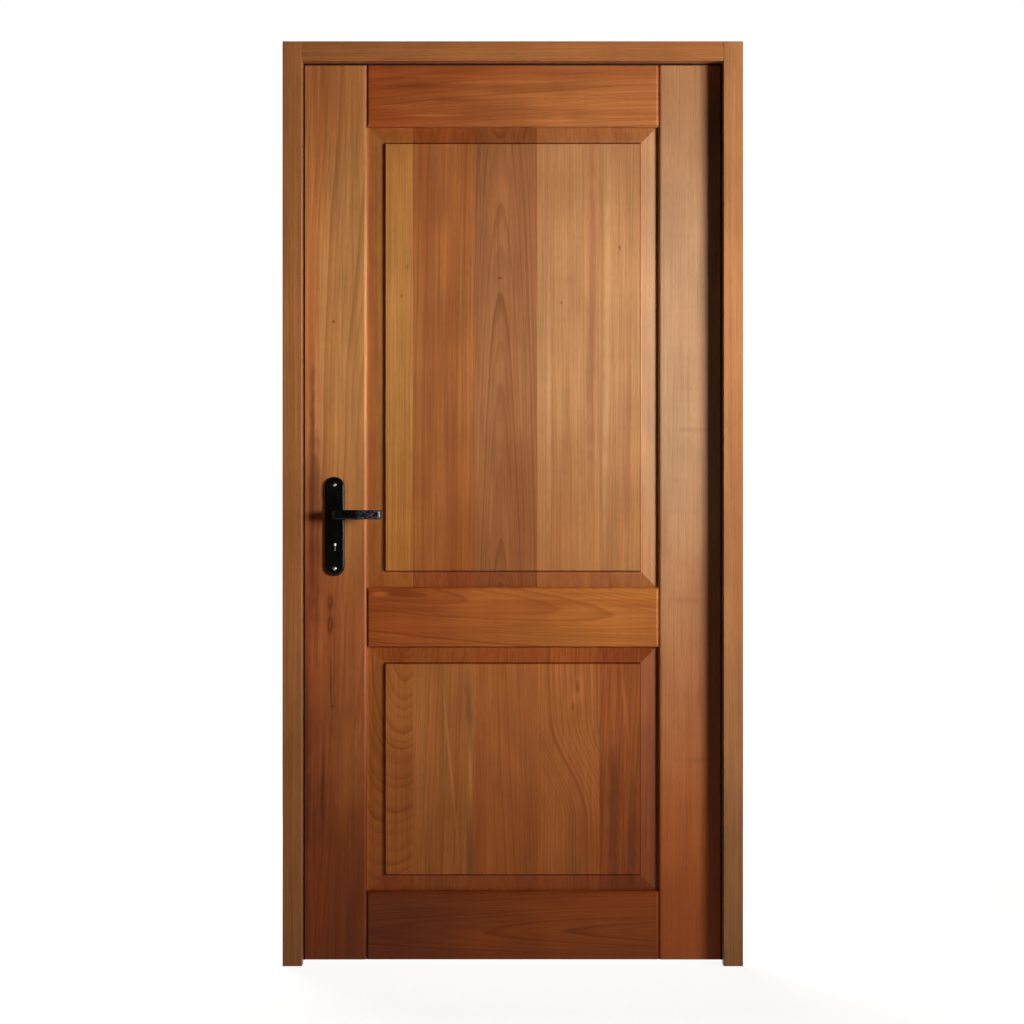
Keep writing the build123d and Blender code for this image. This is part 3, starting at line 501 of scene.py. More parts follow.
@dataclass(frozen=True)
class Wood:
    """Lacquered wood of one piece: growth rings, fibres, pores, streaks and marks, with painted light falloff
    along it and painted shade in the coves of the panel boards.
    """

    grain: Grain
    colour: Colour
    cut: Cut
    seed: float
    streak: float = 0.5
    streak_shares: Shares = (0.84, 0.72, 0.70)
    marks: tuple[Mark, ...] = ()
    late_shares: Shares = (0.60, 0.47, 0.38)
    pore_shares: Shares = (0.50, 0.38, 0.33)
    painted_falloffs: tuple[PaintedFalloff, ...] = ()
    end_shares: Shares = (0.78, 0.61, 0.48)
    cove_painted_shade_shares: Optional[Shares] = None
    ribbon: float = 0.06
    roughness: float = 0.42
    specular: float = 0.21
    coat: float = 0.05
    coat_roughness: float = 0.24
    relief: float = 0.16
    relief_depth: float = 0.0005

    def rings(self, graph: Graph, across: Wire, depth: Wire, along: Wire) -> Wire:
        """Dark late wood of each growth ring.

        Args:
            graph: The material's nodes.
            across: Distance across the piece from its middle.
            depth: Distance behind the front face.
            along: Distance along the grain from the middle.

        Returns:
            Late wood from 0 to 1.
        """
        cut, seed = self.cut, self.seed
        sway = SWAY.noise(graph, (across, depth, along), seed) - NOISE_MIDDLE
        lean = SWAY.noise(graph, (across + SWAY_APART, depth, along), seed) - NOISE_MIDDLE
        side = across - along * cut.drift + sway * cut.wander - cut.across
        if cut.bend:
            side = side - graph.span(along, *cut.bend_reach, 0.0, cut.bend)
        deep = depth - along * cut.climb + lean * cut.wander - cut.depth
        kink = KINK.noise(graph, (across, depth, along), seed) - NOISE_MIDDLE
        radius = (side * side + deep * deep) ** 0.5 + kink * KINK_DEPTH
        count = radius / cut.ring + seed
        count = count + graph.line_noise(count * RING_PACE) * RING_SPREAD
        late = graph.ramp(graph.math("FRACT", count), LATE_STOPS)
        year = graph.line_noise(graph.math("FLOOR", count) * YEAR_PACE + seed)
        return late * graph.span(year, *YEAR_SPAN)

    def spots(self, graph: Graph, colour: Wire, x: Wire, z: Wire, ripple: Wire) -> Wire:
        """Adds the knots and marks to a colour.

        Args:
            graph: The material's nodes.
            colour: The wood's colour so far.
            x: Place along X.
            z: Place along Z.
            ripple: Noise that makes the outline uneven.

        Returns:
            The colour with its marks.
        """
        for mark in self.marks:
            up = z - mark.z
            across = (x - mark.x - up * mark.lean) / mark.half_x
            up = up / mark.half_z
            reach = (across * across + up * up) ** 0.5 + (ripple - NOISE_MIDDLE) * MARK_RIPPLE
            share = graph.span(reach, *MARK_SPAN, mark.strength, 0.0)
            colour = graph.blend(share, colour, shaded(self.colour, mark.shares))
        return colour

    def material(self, name: str) -> bpy.types.Material:
        """Writes the finish for one piece.

        Args:
            name: The CAD node that it is for.

        Returns:
            The material.
        """
        low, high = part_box(name)
        middle = (low + high) / 2
        made = bpy.data.materials.new(f"{name}_lacquered")
        graph = Graph(made)
        x, y, z = graph.place()
        upright = self.grain is Grain.UPRIGHT
        across = x - middle.x if upright else z - middle.z
        along = z - middle.z if upright else x - middle.x
        depth = y + LEAF_FACE
        at = (across, depth, along)
        late = self.rings(graph, *at)
        shift = self.seed * SEED_PITCH
        band = BAND.noise(graph, at, shift)
        fibre = FIBRE.noise(graph, at, shift)
        thread = THREAD.noise(graph, at, shift)
        pore = PORE.cover(graph, PORE.noise(graph, at, shift))
        cloud = CLOUD.noise(graph, at, shift)
        ripple = RIPPLE.noise(graph, at, shift)
        ribbon = RIBBON.noise(graph, at, shift)
        streaks = BAND.cover(graph, band) * self.streak
        colour = graph.blend(streaks, self.colour, shaded(self.colour, self.streak_shares))
        dark = shaded(self.colour, self.late_shares)
        colour = graph.blend(late * self.cut.contrast, colour, dark)
        colour = graph.blend(FIBRE.cover(graph, fibre) * FIBRE.share, colour, dark)
        colour = graph.blend(THREAD.cover(graph, thread) * THREAD.share, colour, dark)
        colour = graph.blend(pore * PORE.share, colour, shaded(self.colour, self.pore_shares))
        colour = self.spots(graph, colour, x, z, ripple)
        reach = (z if upright else x) + (cloud - NOISE_MIDDLE) * FADE_RIPPLE
        # Painted shade: each falloff darkens the colour along the grain where the key lamp's light would grow
        # weaker.
        for fade in self.painted_falloffs:
            rise = (0.0, 1.0) if fade.start < fade.end else (1.0, 0.0)
            share = graph.span(reach, min(fade.start, fade.end), max(fade.start, fade.end), *rise)
            colour = graph.tint(share, colour, fade.shares)
        if upright:
            colour = graph.tint(graph.span(graph.slope("Z"), *END_SPAN), colour, self.end_shares)
        # Painted shade: on the panel boards, faces turned well sideways or up and down, as in the coves, are
        # darkened where shade falls.
        if self.cove_painted_shade_shares is not None:
            turned = graph.math("MAXIMUM", graph.slope("X"), graph.slope("Z"))
            colour = graph.tint(graph.span(turned, *COVE_PAINTED_SHADE_SPAN), colour, self.cove_painted_shade_shares)
        level = graph.span(ribbon, RIBBON.low, RIBBON.high, 1.0 + self.ribbon, 1.0 - self.ribbon)
        colour = graph.dim(colour, graph.span(cloud, CLOUD.low, CLOUD.high, *CLOUD_LEVELS) * level)
        height = (1.0 - pore) * PORE_HEIGHT + (1.0 - late) * LATE_HEIGHT + thread * THREAD_HEIGHT
        rough = self.roughness + (thread - NOISE_MIDDLE) * THREAD_ROUGHNESS + pore * PORE_ROUGHNESS
        sockets = {
            "Base Color": colour,
            "Roughness": rough,
            "Specular IOR Level": self.specular,
            "Coat Weight": self.coat,
            "Coat Roughness": self.coat_roughness,
        }
        graph.surface(sockets, height, self.relief, self.relief_depth)
        return made


@dataclass(frozen=True)
class Rubber:
    """Matt dark rubber with dust in its pores."""

    name: str
    colour: Colour = tone(24, 16, 12)
    dusty: Colour = tone(44, 34, 28)
    roughness: float = 0.72
    unevenness: float = 0.12
    specular: float = 0.25
    relief: float = 0.15
    relief_depth: float = 0.0002

    def material(self) -> bpy.types.Material:
        """Writes the finish."""
        made = bpy.data.materials.new(self.name)
        graph = Graph(made)
        at = graph.place()
        dust = DUST.cover(graph, DUST.noise(graph, at))
        skin = SKIN.noise(graph, at)
        sockets = {
            "Base Color": graph.blend(dust * DUST.share, self.colour, self.dusty),
            "Roughness": self.roughness + (skin - NOISE_MIDDLE) * self.unevenness,
            "Specular IOR Level": self.specular,
        }
        graph.surface(sockets, skin, self.relief, self.relief_depth)
        return made


@dataclass(frozen=True)
class BlackLacquer:
    """Satin black baked on metal, with a fine grain and faint handling marks; on the lever, a painted sheen
    towards its end.
    """

    name: str
    colour: Colour = tone(6, 5, 6)
    handled: Colour = tone(15, 14, 14)
    painted_sheen_colour: Colour = tone(92, 92, 104)
    roughness: float = 0.28
    handled_roughness: float = 0.10
    unevenness: float = 0.06
    grain: Fleck = Fleck(1400.0, 1400.0, 1.0)
    painted_sheen_from: Optional[float] = None
    specular: float = 0.20
    coat: float = 0.03
    coat_roughness: float = 0.18
    relief: float = 0.10
    relief_depth: float = 0.0002

    def material(self) -> bpy.types.Material:
        """Writes the finish."""
        made = bpy.data.materials.new(self.name)
        graph = Graph(made)
        at = graph.place()
        orange_peel = self.grain.noise(graph, at)
        wear = HANDLING.cover(graph, HANDLING.noise(graph, at))
        colour = graph.blend(wear * HANDLING.share, self.colour, self.handled)
        # Painted sheen: past the given X the lever is blended towards a pale bluish grey, standing in for light
        # reflected off its curved front.
        if self.painted_sheen_from is not None:
            sheen_mask = PAINTED_SHEEN.cover(graph, PAINTED_SHEEN.noise(graph, at))
            sheen_mask = sheen_mask * graph.span(at[0], self.painted_sheen_from, self.painted_sheen_from + PAINTED_SHEEN_REACH)
            colour = graph.blend(sheen_mask * PAINTED_SHEEN.share, colour, self.painted_sheen_colour)
        uneven = (orange_peel - NOISE_MIDDLE) * self.unevenness
        sockets = {
            "Base Color": colour,
            "Roughness": self.roughness + wear * self.handled_roughness + uneven,
            "Specular IOR Level": self.specular,
            "Coat Weight": self.coat,
            "Coat Roughness": self.coat_roughness,
        }
        graph.surface(sockets, orange_peel, self.relief, self.relief_depth)
        return made


class Brushing(Enum):
    """Which way a steel surface was brushed."""

    UPRIGHT = Fleck(900.0, 14.0)
    EVEN = Fleck(320.0, 320.0)


@dataclass(frozen=True)
class Steel:
    """Bare or plated steel with brushing lines and dull patches."""

    name: str
    colour: Colour
    dull: Colour
    roughness: float
    brushing: Brushing
    dull_roughness: float = 0.12
    line_roughness: float = 0.16
    relief: float = 0.08
    relief_depth: float = 0.0002

    def material(self) -> bpy.types.Material:
        """Writes the finish."""
        made = bpy.data.materials.new(self.name)
        graph = Graph(made)
        at = graph.place()
        lines = self.brushing.value.noise(graph, at)
        patch = DULLNESS.cover(graph, DULLNESS.noise(graph, at))
        uneven = (lines - NOISE_MIDDLE) * self.line_roughness
        sockets = {
            "Base Color": graph.blend(patch * DULLNESS.share, self.colour, self.dull),
            "Metallic": 1.0,
            "Roughness": self.roughness + patch * self.dull_roughness + uneven,
        }
        graph.surface(sockets, lines, self.relief, self.relief_depth)
        return made


UP, LEVEL = Grain.UPRIGHT, Grain.LEVEL
PALE_SHARES = (1.25, 1.35, 1.5)
# Dark stain shares: for the stain marks on the top rail and for the painted shade in the panel coves.
STAIN_AND_COVE_SHADE_SHARES = (0.55, 0.43, 0.36)
SMUDGE_SHARES = (0.62, 0.54, 0.52)
SLATE_SHARES = (0.52, 0.54, 0.70)
PLUM_SHARES = (0.50, 0.40, 0.46)
KNOT_SHARES = (0.30, 0.21, 0.19)
# Painted shade on the panel boards: darker towards the foot and the top of the upper panel and towards the foot
# of the lower panel.
UPPER_PAINTED_FALLOFFS = (PaintedFalloff(1.35, 0.92, (0.93, 0.80, 0.66)), PaintedFalloff(1.55, 1.9, (0.92, 0.85, 0.80)))
LOWER_PAINTED_FALLOFFS = (PaintedFalloff(0.60, 0.2, (0.93, 0.82, 0.70)),)

# The stiles' falloffs are painted shade: darker towards the foot and the top, away from the key lamp.
STILES = {
    "lock_stile": Wood(
        UP, tone(222, 156, 91), seed=1.3, streak=0.9, ribbon=0.11,
        cut=Cut(across=0.1, depth=0.16, climb=0.02, drift=0.02, ring=0.006, wander=0.02, contrast=0.66),
        painted_falloffs=(
            PaintedFalloff(1.35, 0.85, (0.74, 0.5, 0.47)),
            PaintedFalloff(0.8, 0.15, (0.57, 0.4, 0.24)),
            PaintedFalloff(1.6, 2.05, (0.72, 0.62, 0.55)),
        ),
        marks=(
            Mark(-0.372, 1.01, 0.034, 0.26, 0.6, (1.06, 1.2, 1.02)),
            Mark(-0.47, 1.0, 0.048, 0.34, 0.78, (0.5, 0.41, 0.48)),
            Mark(-0.484, 0.6, 0.019, 0.5, 1.0, (0.34, 0.28, 0.38)),
            Mark(-0.443, 0.4, 0.008, 0.16, 0.95, (0.42, 0.36, 0.46), 0.02),
            Mark(-0.464, 0.3, 0.005, 0.22, 0.6, (0.6, 0.5, 0.52)),
            Mark(-0.39, 0.46, 0.055, 0.28, 0.62, (1.22, 1.34, 1.24)),
            Mark(-0.405, 1.32, 0.09, 0.18, 0.28, (0.7, 0.6, 0.62)),
            Mark(-0.4258, 0.839, 0.01, 0.036, 0.95, KNOT_SHARES),
            Mark(-0.4258, 0.788, 0.01, 0.036, 0.95, KNOT_SHARES),
            Mark(-0.4258, 0.842, 0.004, 0.016, 0.8, (0.86, 0.66, 0.6)),
            Mark(-0.4258, 0.79, 0.004, 0.015, 0.8, (0.86, 0.66, 0.6)),
            Mark(-0.424, 0.66, 0.003, 0.1, 0.85, KNOT_SHARES),
            Mark(-0.4205, 0.598, 0.007, 0.005, 0.7),
            Mark(-0.476, 1.15, 0.022, 1.0, 0.6, (0.78, 0.58, 0.56)),
            Mark(-0.468, 1.11, 0.011, 0.44, 0.95, (0.3, 0.26, 0.32)),
            Mark(-0.4176, 1.4956, 0.005, 0.005, 0.95),
            Mark(-0.456, 1.03, 0.008, 0.3, 0.7, (0.36, 0.3, 0.38)),
        ),
    ),
    "hinge_stile": Wood(
        UP, tone(206, 159, 116), seed=2.9, streak=0.35, ribbon=0.02,
        cut=Cut(across=-0.26, depth=0.12, climb=0.01, drift=0.01, ring=0.0042, wander=0.012, contrast=0.22),
        painted_falloffs=(
            PaintedFalloff(1.25, 0.85, (0.98, 0.84, 0.74)),
            PaintedFalloff(1.1, 0.1, (1.08, 0.55, 0.26)),
            PaintedFalloff(1.6, 2.05, (0.83, 0.7, 0.6)),
        ),
        marks=(
            Mark(0.415, 1.242, 0.06, 0.01, 0.3, SMUDGE_SHARES),
            Mark(0.405, 0.846, 0.07, 0.012, 0.34, SMUDGE_SHARES),
            Mark(0.425, 0.473, 0.06, 0.01, 0.3, SMUDGE_SHARES),
        ),
    ),
}
# The rails' falloffs are painted shade: darker towards the left end, away from the key lamp.
RAILS = {
    "top_rail": Wood(
        LEVEL, tone(196, 120, 64), seed=4.1, streak=0.9, ribbon=0.11,
        cut=Cut(across=0.16, depth=0.1, climb=0.01, drift=0.05, ring=0.007, wander=0.05, contrast=0.62),
        painted_falloffs=(
            PaintedFalloff(0.2, -0.33, (0.76, 0.54, 0.43)),
        ),
        marks=(
            Mark(-0.19, 1.976, 0.11, 0.005, 0.7, PALE_SHARES),
            Mark(0.06, 1.964, 0.16, 0.004, 0.5, PALE_SHARES),
            Mark(-0.23, 2.045, 0.09, 0.012, 0.45, STAIN_AND_COVE_SHADE_SHARES, 1.5),
            Mark(-0.12, 2.012, 0.08, 0.007, 0.45, STAIN_AND_COVE_SHADE_SHARES),
        ),
    ),
    "lock_rail": Wood(
        LEVEL, tone(206, 124, 56), seed=5.7, streak=0.7, ribbon=0.1,
        cut=Cut(across=0.03, depth=0.05, climb=0.05, drift=-0.1, ring=0.0052, wander=0.03, contrast=0.8),
        painted_falloffs=(
            PaintedFalloff(0.2, -0.33, (0.74, 0.53, 0.54)),
        ),
        marks=(
            Mark(-0.311, 0.861, 0.032, 0.008, 0.85, (1.5, 1.75, 1.8)),
        ),
    ),
    "bottom_rail": Wood(
        LEVEL, tone(183, 92, 34), seed=6.2, streak=0.7, ribbon=0.03,
        cut=Cut(across=-0.016, depth=0.04185, climb=-0.05, drift=0.0, ring=0.0052, wander=0.02, contrast=0.9),
        painted_falloffs=(
            PaintedFalloff(0.2, -0.33, (0.57, 0.52, 0.56)),
        ),
    ),
}
UPPER_BOARDS = (
    Wood(
        UP, tone(213, 147, 77), seed=7.7, streak=0.4, ribbon=0.09,
        cut=Cut(across=-0.32, depth=0.1, climb=0.0, drift=0.01, ring=0.0062, wander=0.012, contrast=0.44),
        painted_falloffs=UPPER_PAINTED_FALLOFFS, cove_painted_shade_shares=STAIN_AND_COVE_SHADE_SHARES,
        marks=(
            # Painted shade: darkens the upper panel's left bevel, the side turned away from the key lamp.
            Mark(-0.336, 1.41, 0.042, 1.1, 0.85, (0.7, 0.5, 0.6)),
            Mark(-0.245, 1.623, 0.006, 0.012, 0.55),
            Mark(-0.259, 1.555, 0.006, 0.01, 0.5),
        ),
    ),
    Wood(
        UP, tone(190, 118, 64), seed=8.4, streak=0.8, ribbon=0.1,
        cut=Cut(across=-0.24, depth=0.1, climb=0.01, drift=0.02, ring=0.007, wander=0.016, contrast=0.52),
        painted_falloffs=UPPER_PAINTED_FALLOFFS, cove_painted_shade_shares=STAIN_AND_COVE_SHADE_SHARES,
        marks=(
            Mark(-0.17, 1.755, 0.04, 0.06, 0.3, SMUDGE_SHARES),
        ),
    ),
    Wood(
        UP, tone(183, 122, 75), seed=9.9, streak=0.5, ribbon=0.08,
        cut=Cut(across=-0.014, depth=0.05, climb=0.045, drift=0.0, ring=0.0056, wander=0.014, contrast=0.82),
        painted_falloffs=UPPER_PAINTED_FALLOFFS, cove_painted_shade_shares=STAIN_AND_COVE_SHADE_SHARES,
        marks=(
            Mark(-0.03, 1.597, 0.008, 0.004, 0.8),
        ),
    ),
    Wood(
        UP, tone(208, 150, 98), seed=10.6, streak=0.5,
        cut=Cut(across=0.27, depth=0.1, climb=0.0, drift=-0.01, ring=0.006, wander=0.01, contrast=0.36),
        painted_falloffs=UPPER_PAINTED_FALLOFFS, cove_painted_shade_shares=STAIN_AND_COVE_SHADE_SHARES,
        marks=(
            Mark(0.113, 1.539, 0.0045, 0.0055, 0.75),
            Mark(0.184, 1.48, 0.013, 0.6, 0.8, (0.66, 0.52, 0.54), 0.012),
            Mark(0.084, 1.3, 0.008, 0.55, 0.45, PALE_SHARES),
            Mark(0.13, 1.59, 0.03, 0.02, 0.25, SMUDGE_SHARES),
        ),
    ),
    Wood(
        UP, tone(207, 151, 100), seed=11.8, streak=0.5,
        cut=Cut(across=0.33, depth=0.1, climb=0.01, drift=0.01, ring=0.006, wander=0.01, contrast=0.34),
        painted_falloffs=UPPER_PAINTED_FALLOFFS, cove_painted_shade_shares=STAIN_AND_COVE_SHADE_SHARES,
        marks=(
            Mark(0.249, 1.667, 0.0045, 0.0065, 0.75),
            Mark(0.219, 1.4, 0.01, 0.7, 0.55, PALE_SHARES, 0.01),
            Mark(0.27, 1.25, 0.008, 0.5, 0.6, (0.7, 0.58, 0.56), 0.01),
            # Painted sheen: turns the upper panel's right bevel, which faces the key lamp, from orange towards
            # grey-white.
            Mark(0.325, 1.41, 0.03, 0.9, 0.35, (0.8, 0.92, 1.1)),
        ),
    ),
)
LOWER_BOARDS = (
    Wood(
        UP, tone(201, 119, 56), seed=12.5, streak=0.5, ribbon=0.08,
        cut=Cut(across=0.026, depth=0.095, climb=-0.26, drift=0.05, ring=0.0075, wander=0.04, contrast=0.74),
        painted_falloffs=LOWER_PAINTED_FALLOFFS, cove_painted_shade_shares=STAIN_AND_COVE_SHADE_SHARES,
    ),
    Wood(
        UP, tone(201, 125, 64), seed=13.1, streak=0.5, ribbon=0.08,
        cut=Cut(across=-0.26, depth=0.1, climb=0.02, drift=0.06, ring=0.0065, wander=0.018, contrast=0.58),
        painted_falloffs=LOWER_PAINTED_FALLOFFS, cove_painted_shade_shares=STAIN_AND_COVE_SHADE_SHARES,
        marks=(
            Mark(-0.1447, 0.45, 0.005, 0.28, 0.65, PALE_SHARES, -0.095),
            Mark(-0.102, 0.6, 0.012, 0.12, 0.8, SLATE_SHARES, -0.04),
            Mark(-0.098, 0.42, 0.006, 0.12, 0.6, PALE_SHARES, -0.03),
            Mark(-0.1, 0.245, 0.014, 0.11, 0.8, SLATE_SHARES),
        ),
    ),
    Wood(
        UP, tone(201, 119, 60), seed=14.7, streak=0.8,
        cut=Cut(across=-0.22, depth=0.1, climb=0.0, drift=-0.04, ring=0.0065, wander=0.018, contrast=0.62),
        painted_falloffs=LOWER_PAINTED_FALLOFFS, cove_painted_shade_shares=STAIN_AND_COVE_SHADE_SHARES,
    ),
    Wood(
        UP, tone(206, 124, 64), seed=15.3, streak=0.5, ribbon=0.08,
        cut=Cut(across=-0.3, depth=0.08, climb=0.02, drift=0.0, ring=0.0095, wander=0.06, contrast=0.84,
                bend=-0.075, bend_reach=(-0.12, 0.12)),
        painted_falloffs=LOWER_PAINTED_FALLOFFS, cove_painted_shade_shares=STAIN_AND_COVE_SHADE_SHARES,
        marks=(
            Mark(0.15, 0.632, 0.022, 0.06, 0.4, PALE_SHARES, 0.25),
            Mark(0.151, 0.643, 0.008, 0.024, 0.7),
            Mark(0.14, 0.598, 0.006, 0.016, 0.65),
        ),
    ),
    Wood(
        UP, tone(182, 102, 49), seed=16.6, streak=0.9, ribbon=0.09,
        cut=Cut(across=0.3, depth=0.1, climb=0.01, drift=0.05, ring=0.0078, wander=0.036, contrast=0.86),
        painted_falloffs=LOWER_PAINTED_FALLOFFS, cove_painted_shade_shares=STAIN_AND_COVE_SHADE_SHARES,
        marks=(
            Mark(0.238, 0.35, 0.024, 0.26, 0.8, PLUM_SHARES),
            Mark(0.278, 0.3, 0.018, 0.19, 0.75, PLUM_SHARES, 0.03),
            # Painted shade: darkens the lower panel's right bevel, which faces the key lamp, so that it looks no
            # brighter than the field.
            Mark(0.328, 0.45, 0.03, 0.45, 0.6, (0.56, 0.46, 0.4)),
            Mark(0.262, 0.6, 0.007, 0.16, 0.5, PALE_SHARES, -0.1),
        ),
    ),
)
FRAME_WOODS = {
    "lock_jamb": Wood(
        UP, tone(190, 122, 68), seed=17.2, streak=0.6,
        cut=Cut(across=-0.2, depth=0.12, climb=0.01, drift=0.01, ring=0.0045, wander=0.015, contrast=0.34),
    ),
    "hinge_jamb": Wood(
        UP, tone(196, 132, 80), seed=18.4, streak=0.6,
        cut=Cut(across=0.22, depth=0.12, climb=0.01, drift=-0.01, ring=0.0045, wander=0.015, contrast=0.34),
    ),
    "frame_head": Wood(
        LEVEL, tone(190, 120, 66), seed=19.1, streak=0.6,
        cut=Cut(across=0.18, depth=0.12, climb=0.01, drift=0.02, ring=0.0045, wander=0.015, contrast=0.34),
    ),
}


@dataclass
class Leaf:
    """The door leaf: two stiles, three rails and two panels glued up from boards."""

    stiles: dict[str, Wood]
    rails: dict[str, Wood]
    panels: dict[str, tuple[Wood, ...]]

    def dress(self) -> None:
        """Gives every wooden member its own finish."""
        for name, wood in {**self.stiles, **self.rails}.items():
            assign(name, wood.material(name))
            LOG.info("%s lacquered", name)
        for panel, boards in self.panels.items():
            for number, wood in enumerate(boards, start=1):
                name = f"{panel}_board_{number}"
                assign(name, wood.material(name))
                LOG.info("%s lacquered", name)


@dataclass
class DoorFrame:
    """The rebated frame: two jambs, a head and the seal in its stop."""

    woods: dict[str, Wood]
    rubber: bpy.types.Material

    def dress(self) -> None:
        """Gives the jambs, the head and the seal their finishes."""
        assign("frame_seal", self.rubber)
        for name, wood in self.woods.items():
            assign(name, wood.material(name))
            LOG.info("%s lacquered", name)


@dataclass
class Screws:
    """Screws of one node, each head sunk with a cross recess for the driver."""

    node: str
    body: str
    slot: str
    heads: tuple[Point, ...]
    inward: Point
    finish: bpy.types.Material
    recess_reach: float = 0.0026
    recess_width: float = 0.0010
    recess_depth: float = 0.0017
    recess_taper: float = 0.45
    facing_down: float = -0.5

    def cutter(self) -> bpy.types.Object:
        """Models the cross that is cut out of each head.

        Returns:
            One mesh with a tapered cross at every head.
        """
        turn = Vector((0.0, 0.0, -1.0)).rotation_difference(Vector(self.inward)).to_matrix().to_4x4()
        crosses = []
        for head in self.heads:
            for quarter in (0.0, radians(90.0)):
                bpy.ops.mesh.primitive_cube_add(size=1.0, location=(0.0, 0.0, 0.0))
                blade = bpy.context.object
                bpy.ops.object.mode_set(mode="EDIT")
                bpy.ops.mesh.select_all(action="SELECT")
                lengths = (self.recess_reach * 2, self.recess_width, self.recess_depth * 2)
                bpy.ops.transform.resize(value=lengths)
                bpy.ops.mesh.select_all(action="DESELECT")
                bpy.ops.object.mode_set(mode="OBJECT")
                for face in blade.data.polygons:
                    face.select = face.normal.z < self.facing_down
                bpy.ops.object.mode_set(mode="EDIT")
                bpy.ops.transform.resize(value=(self.recess_taper, self.recess_taper, 1.0))
                bpy.ops.object.mode_set(mode="OBJECT")
                blade.data.transform(Matrix.Translation(head) @ turn @ Matrix.Rotation(quarter, 4, "Z"))
                crosses.append(blade)
        for blade in crosses:
            blade.select_set(True)
        bpy.context.view_layer.objects.active = crosses[0]
        bpy.ops.object.join()
        return crosses[0]

    def build(self) -> bpy.types.Object:
        """Models the screws and puts them in place of their node.

        Returns:
            The finished screws.
        """
        piece = copied(self.node, f"{self.node}_driven")
        bpy.ops.object.select_all(action="DESELECT")
        cross = self.cutter()
        bpy.ops.object.select_all(action="DESELECT")
        piece.select_set(True)
        bpy.context.view_layer.objects.active = piece
        modifier = piece.modifiers.new("recess", "BOOLEAN")
        modifier.operation = "DIFFERENCE"
        modifier.solver = "EXACT"
        modifier.use_self = True
        modifier.object = cross
        bpy.ops.object.modifier_apply(modifier=modifier.name)
        bpy.data.objects.remove(cross)
        bpy.ops.object.shade_smooth_by_angle(angle=SMOOTH_ANGLE)
        settle(piece, self.node, self.body, self.finish)
        LOG.info("%s modelled", piece.name)
        return piece


@dataclass
class StripSpring:
    """Bent strip spring of the lock, set as a fixed copy in place of its node."""

    node: str
    joint: str
    travel: float
    foot_at_low_x: bool
    finish: bpy.types.Material

    def build(self) -> bpy.types.Object:
        """Puts a copy of the spring in place of its node.

        Returns:
            The finished spring.
        """
        low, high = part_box(self.node)
        piece = copied(self.node, f"{self.node}_yielding")
        bpy.ops.object.shade_smooth_by_angle(angle=SMOOTH_ANGLE)
        settle(piece, self.node, "leaf", self.finish)
        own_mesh(piece)
        LOG.info("%s follows %s", piece.name, self.joint)
        return piece


@dataclass
class Hinges:
    """Three black butt hinges with their screws."""

    black: bpy.types.Material
    heights: tuple[float, ...] = HINGE_HEIGHTS
    screw_pitch: float = 0.036
    near_y: float = 0.011
    leaf_edge: float = 0.500
    rebate_edge: float = 0.503

    def heads(self, edge: float) -> tuple[Point, ...]:
        """Places of a flap's screw heads on every hinge.

        Args:
            edge: X of the flap's face.

        Returns:
            The places, three to a hinge.
        """
        offsets = ((self.near_y, -self.screw_pitch), (0.0, 0.0), (self.near_y, self.screw_pitch))
        return tuple((edge, y, height + z) for height in self.heights for y, z in offsets)

    def dress(self) -> None:
        """Blacks the flaps and pins and models the screws."""
        for place in ("lower", "middle", "upper"):
            for part in ("frame_flap", "leaf_flap", "pin"):
                assign(f"{place}_hinge_{part}", self.black)
        frame_heads, leaf_heads = self.heads(self.rebate_edge), self.heads(self.leaf_edge)
        Screws("hinge_frame_screws", "frame", "black_hinge", frame_heads, (1, 0, 0), self.black).build()
        Screws("hinge_leaf_screws", "leaf", "black_hinge", leaf_heads, (-1, 0, 0), self.black).build()
        LOG.info("hinges blacked")


@dataclass
class HandleSet:
    """Black lever handles on long plates, held by bright bolts through the stile."""

    black: bpy.types.Material
    # Lever finish, with its painted sheen.
    painted_sheen_black: bpy.types.Material
    bright: bpy.types.Material
    axis_x: float = -0.415
    bolt_heights: tuple[float, ...] = (1.115, 0.920)
    dome: float = 0.0326

    def dress(self) -> None:
        """Finishes the plates and levers and models the bolts that hold them."""
        for side in ("front", "rear"):
            assign(f"{side}_plate", self.black)
            assign(f"{side}_lever", self.painted_sheen_black)
        front = tuple((self.axis_x, -self.dome, height) for height in self.bolt_heights)
        rear = tuple((self.axis_x, self.dome, height) for height in self.bolt_heights)
        Screws("plate_bolts", "leaf", "bright_bolt", front, (0, 1, 0), self.bright).build()
        Screws("plate_sleeve_nuts", "leaf", "bright_bolt", rear, (0, -1, 0), self.bright).build()
        LOG.info("lever set finished")


@dataclass
class MortiseLock:
    """The lock in the stile's edge, its spindle and the strike plate in the jamb."""

    steel: bpy.types.Material
    plain_nodes: tuple[str, ...] = (
        "lock_case", "lock_cover", "lock_cover_screws", "lock_forend", "deadbolt_spring", "lock_hub",
        "latch_bolt", "deadbolt", "spindle", "lever_clips", "lever_grub_screws", "strike_plate",
    )
    latch_travel: float = 0.0115
    toe_travel: float = 0.0132
    forend_edge: float = -0.500
    strike_edge: float = -0.503
    forend_heights: tuple[float, ...] = (0.9075, 1.1225)
    strike_heights: tuple[float, ...] = (0.927, 1.103)

    def dress(self) -> None:
        """Gives the lock its steel, puts copies of its springs in place and models the screws that show."""
        for name in self.plain_nodes:
            assign(name, self.steel)
        StripSpring("latch_spring", "latch_slide", self.latch_travel, False, self.steel).build()
        StripSpring("hub_spring", "handle_turn", self.toe_travel, True, self.steel).build()
        forend = tuple((self.forend_edge, 0.0, height) for height in self.forend_heights)
        strike = tuple((self.strike_edge, 0.0, height) for height in self.strike_heights)
        Screws("forend_screws", "leaf", "lock_steel", forend, (1, 0, 0), self.steel).build()
        Screws("strike_screws", "frame", "lock_steel", strike, (-1, 0, 0), self.steel).build()
        LOG.info("lock finished")


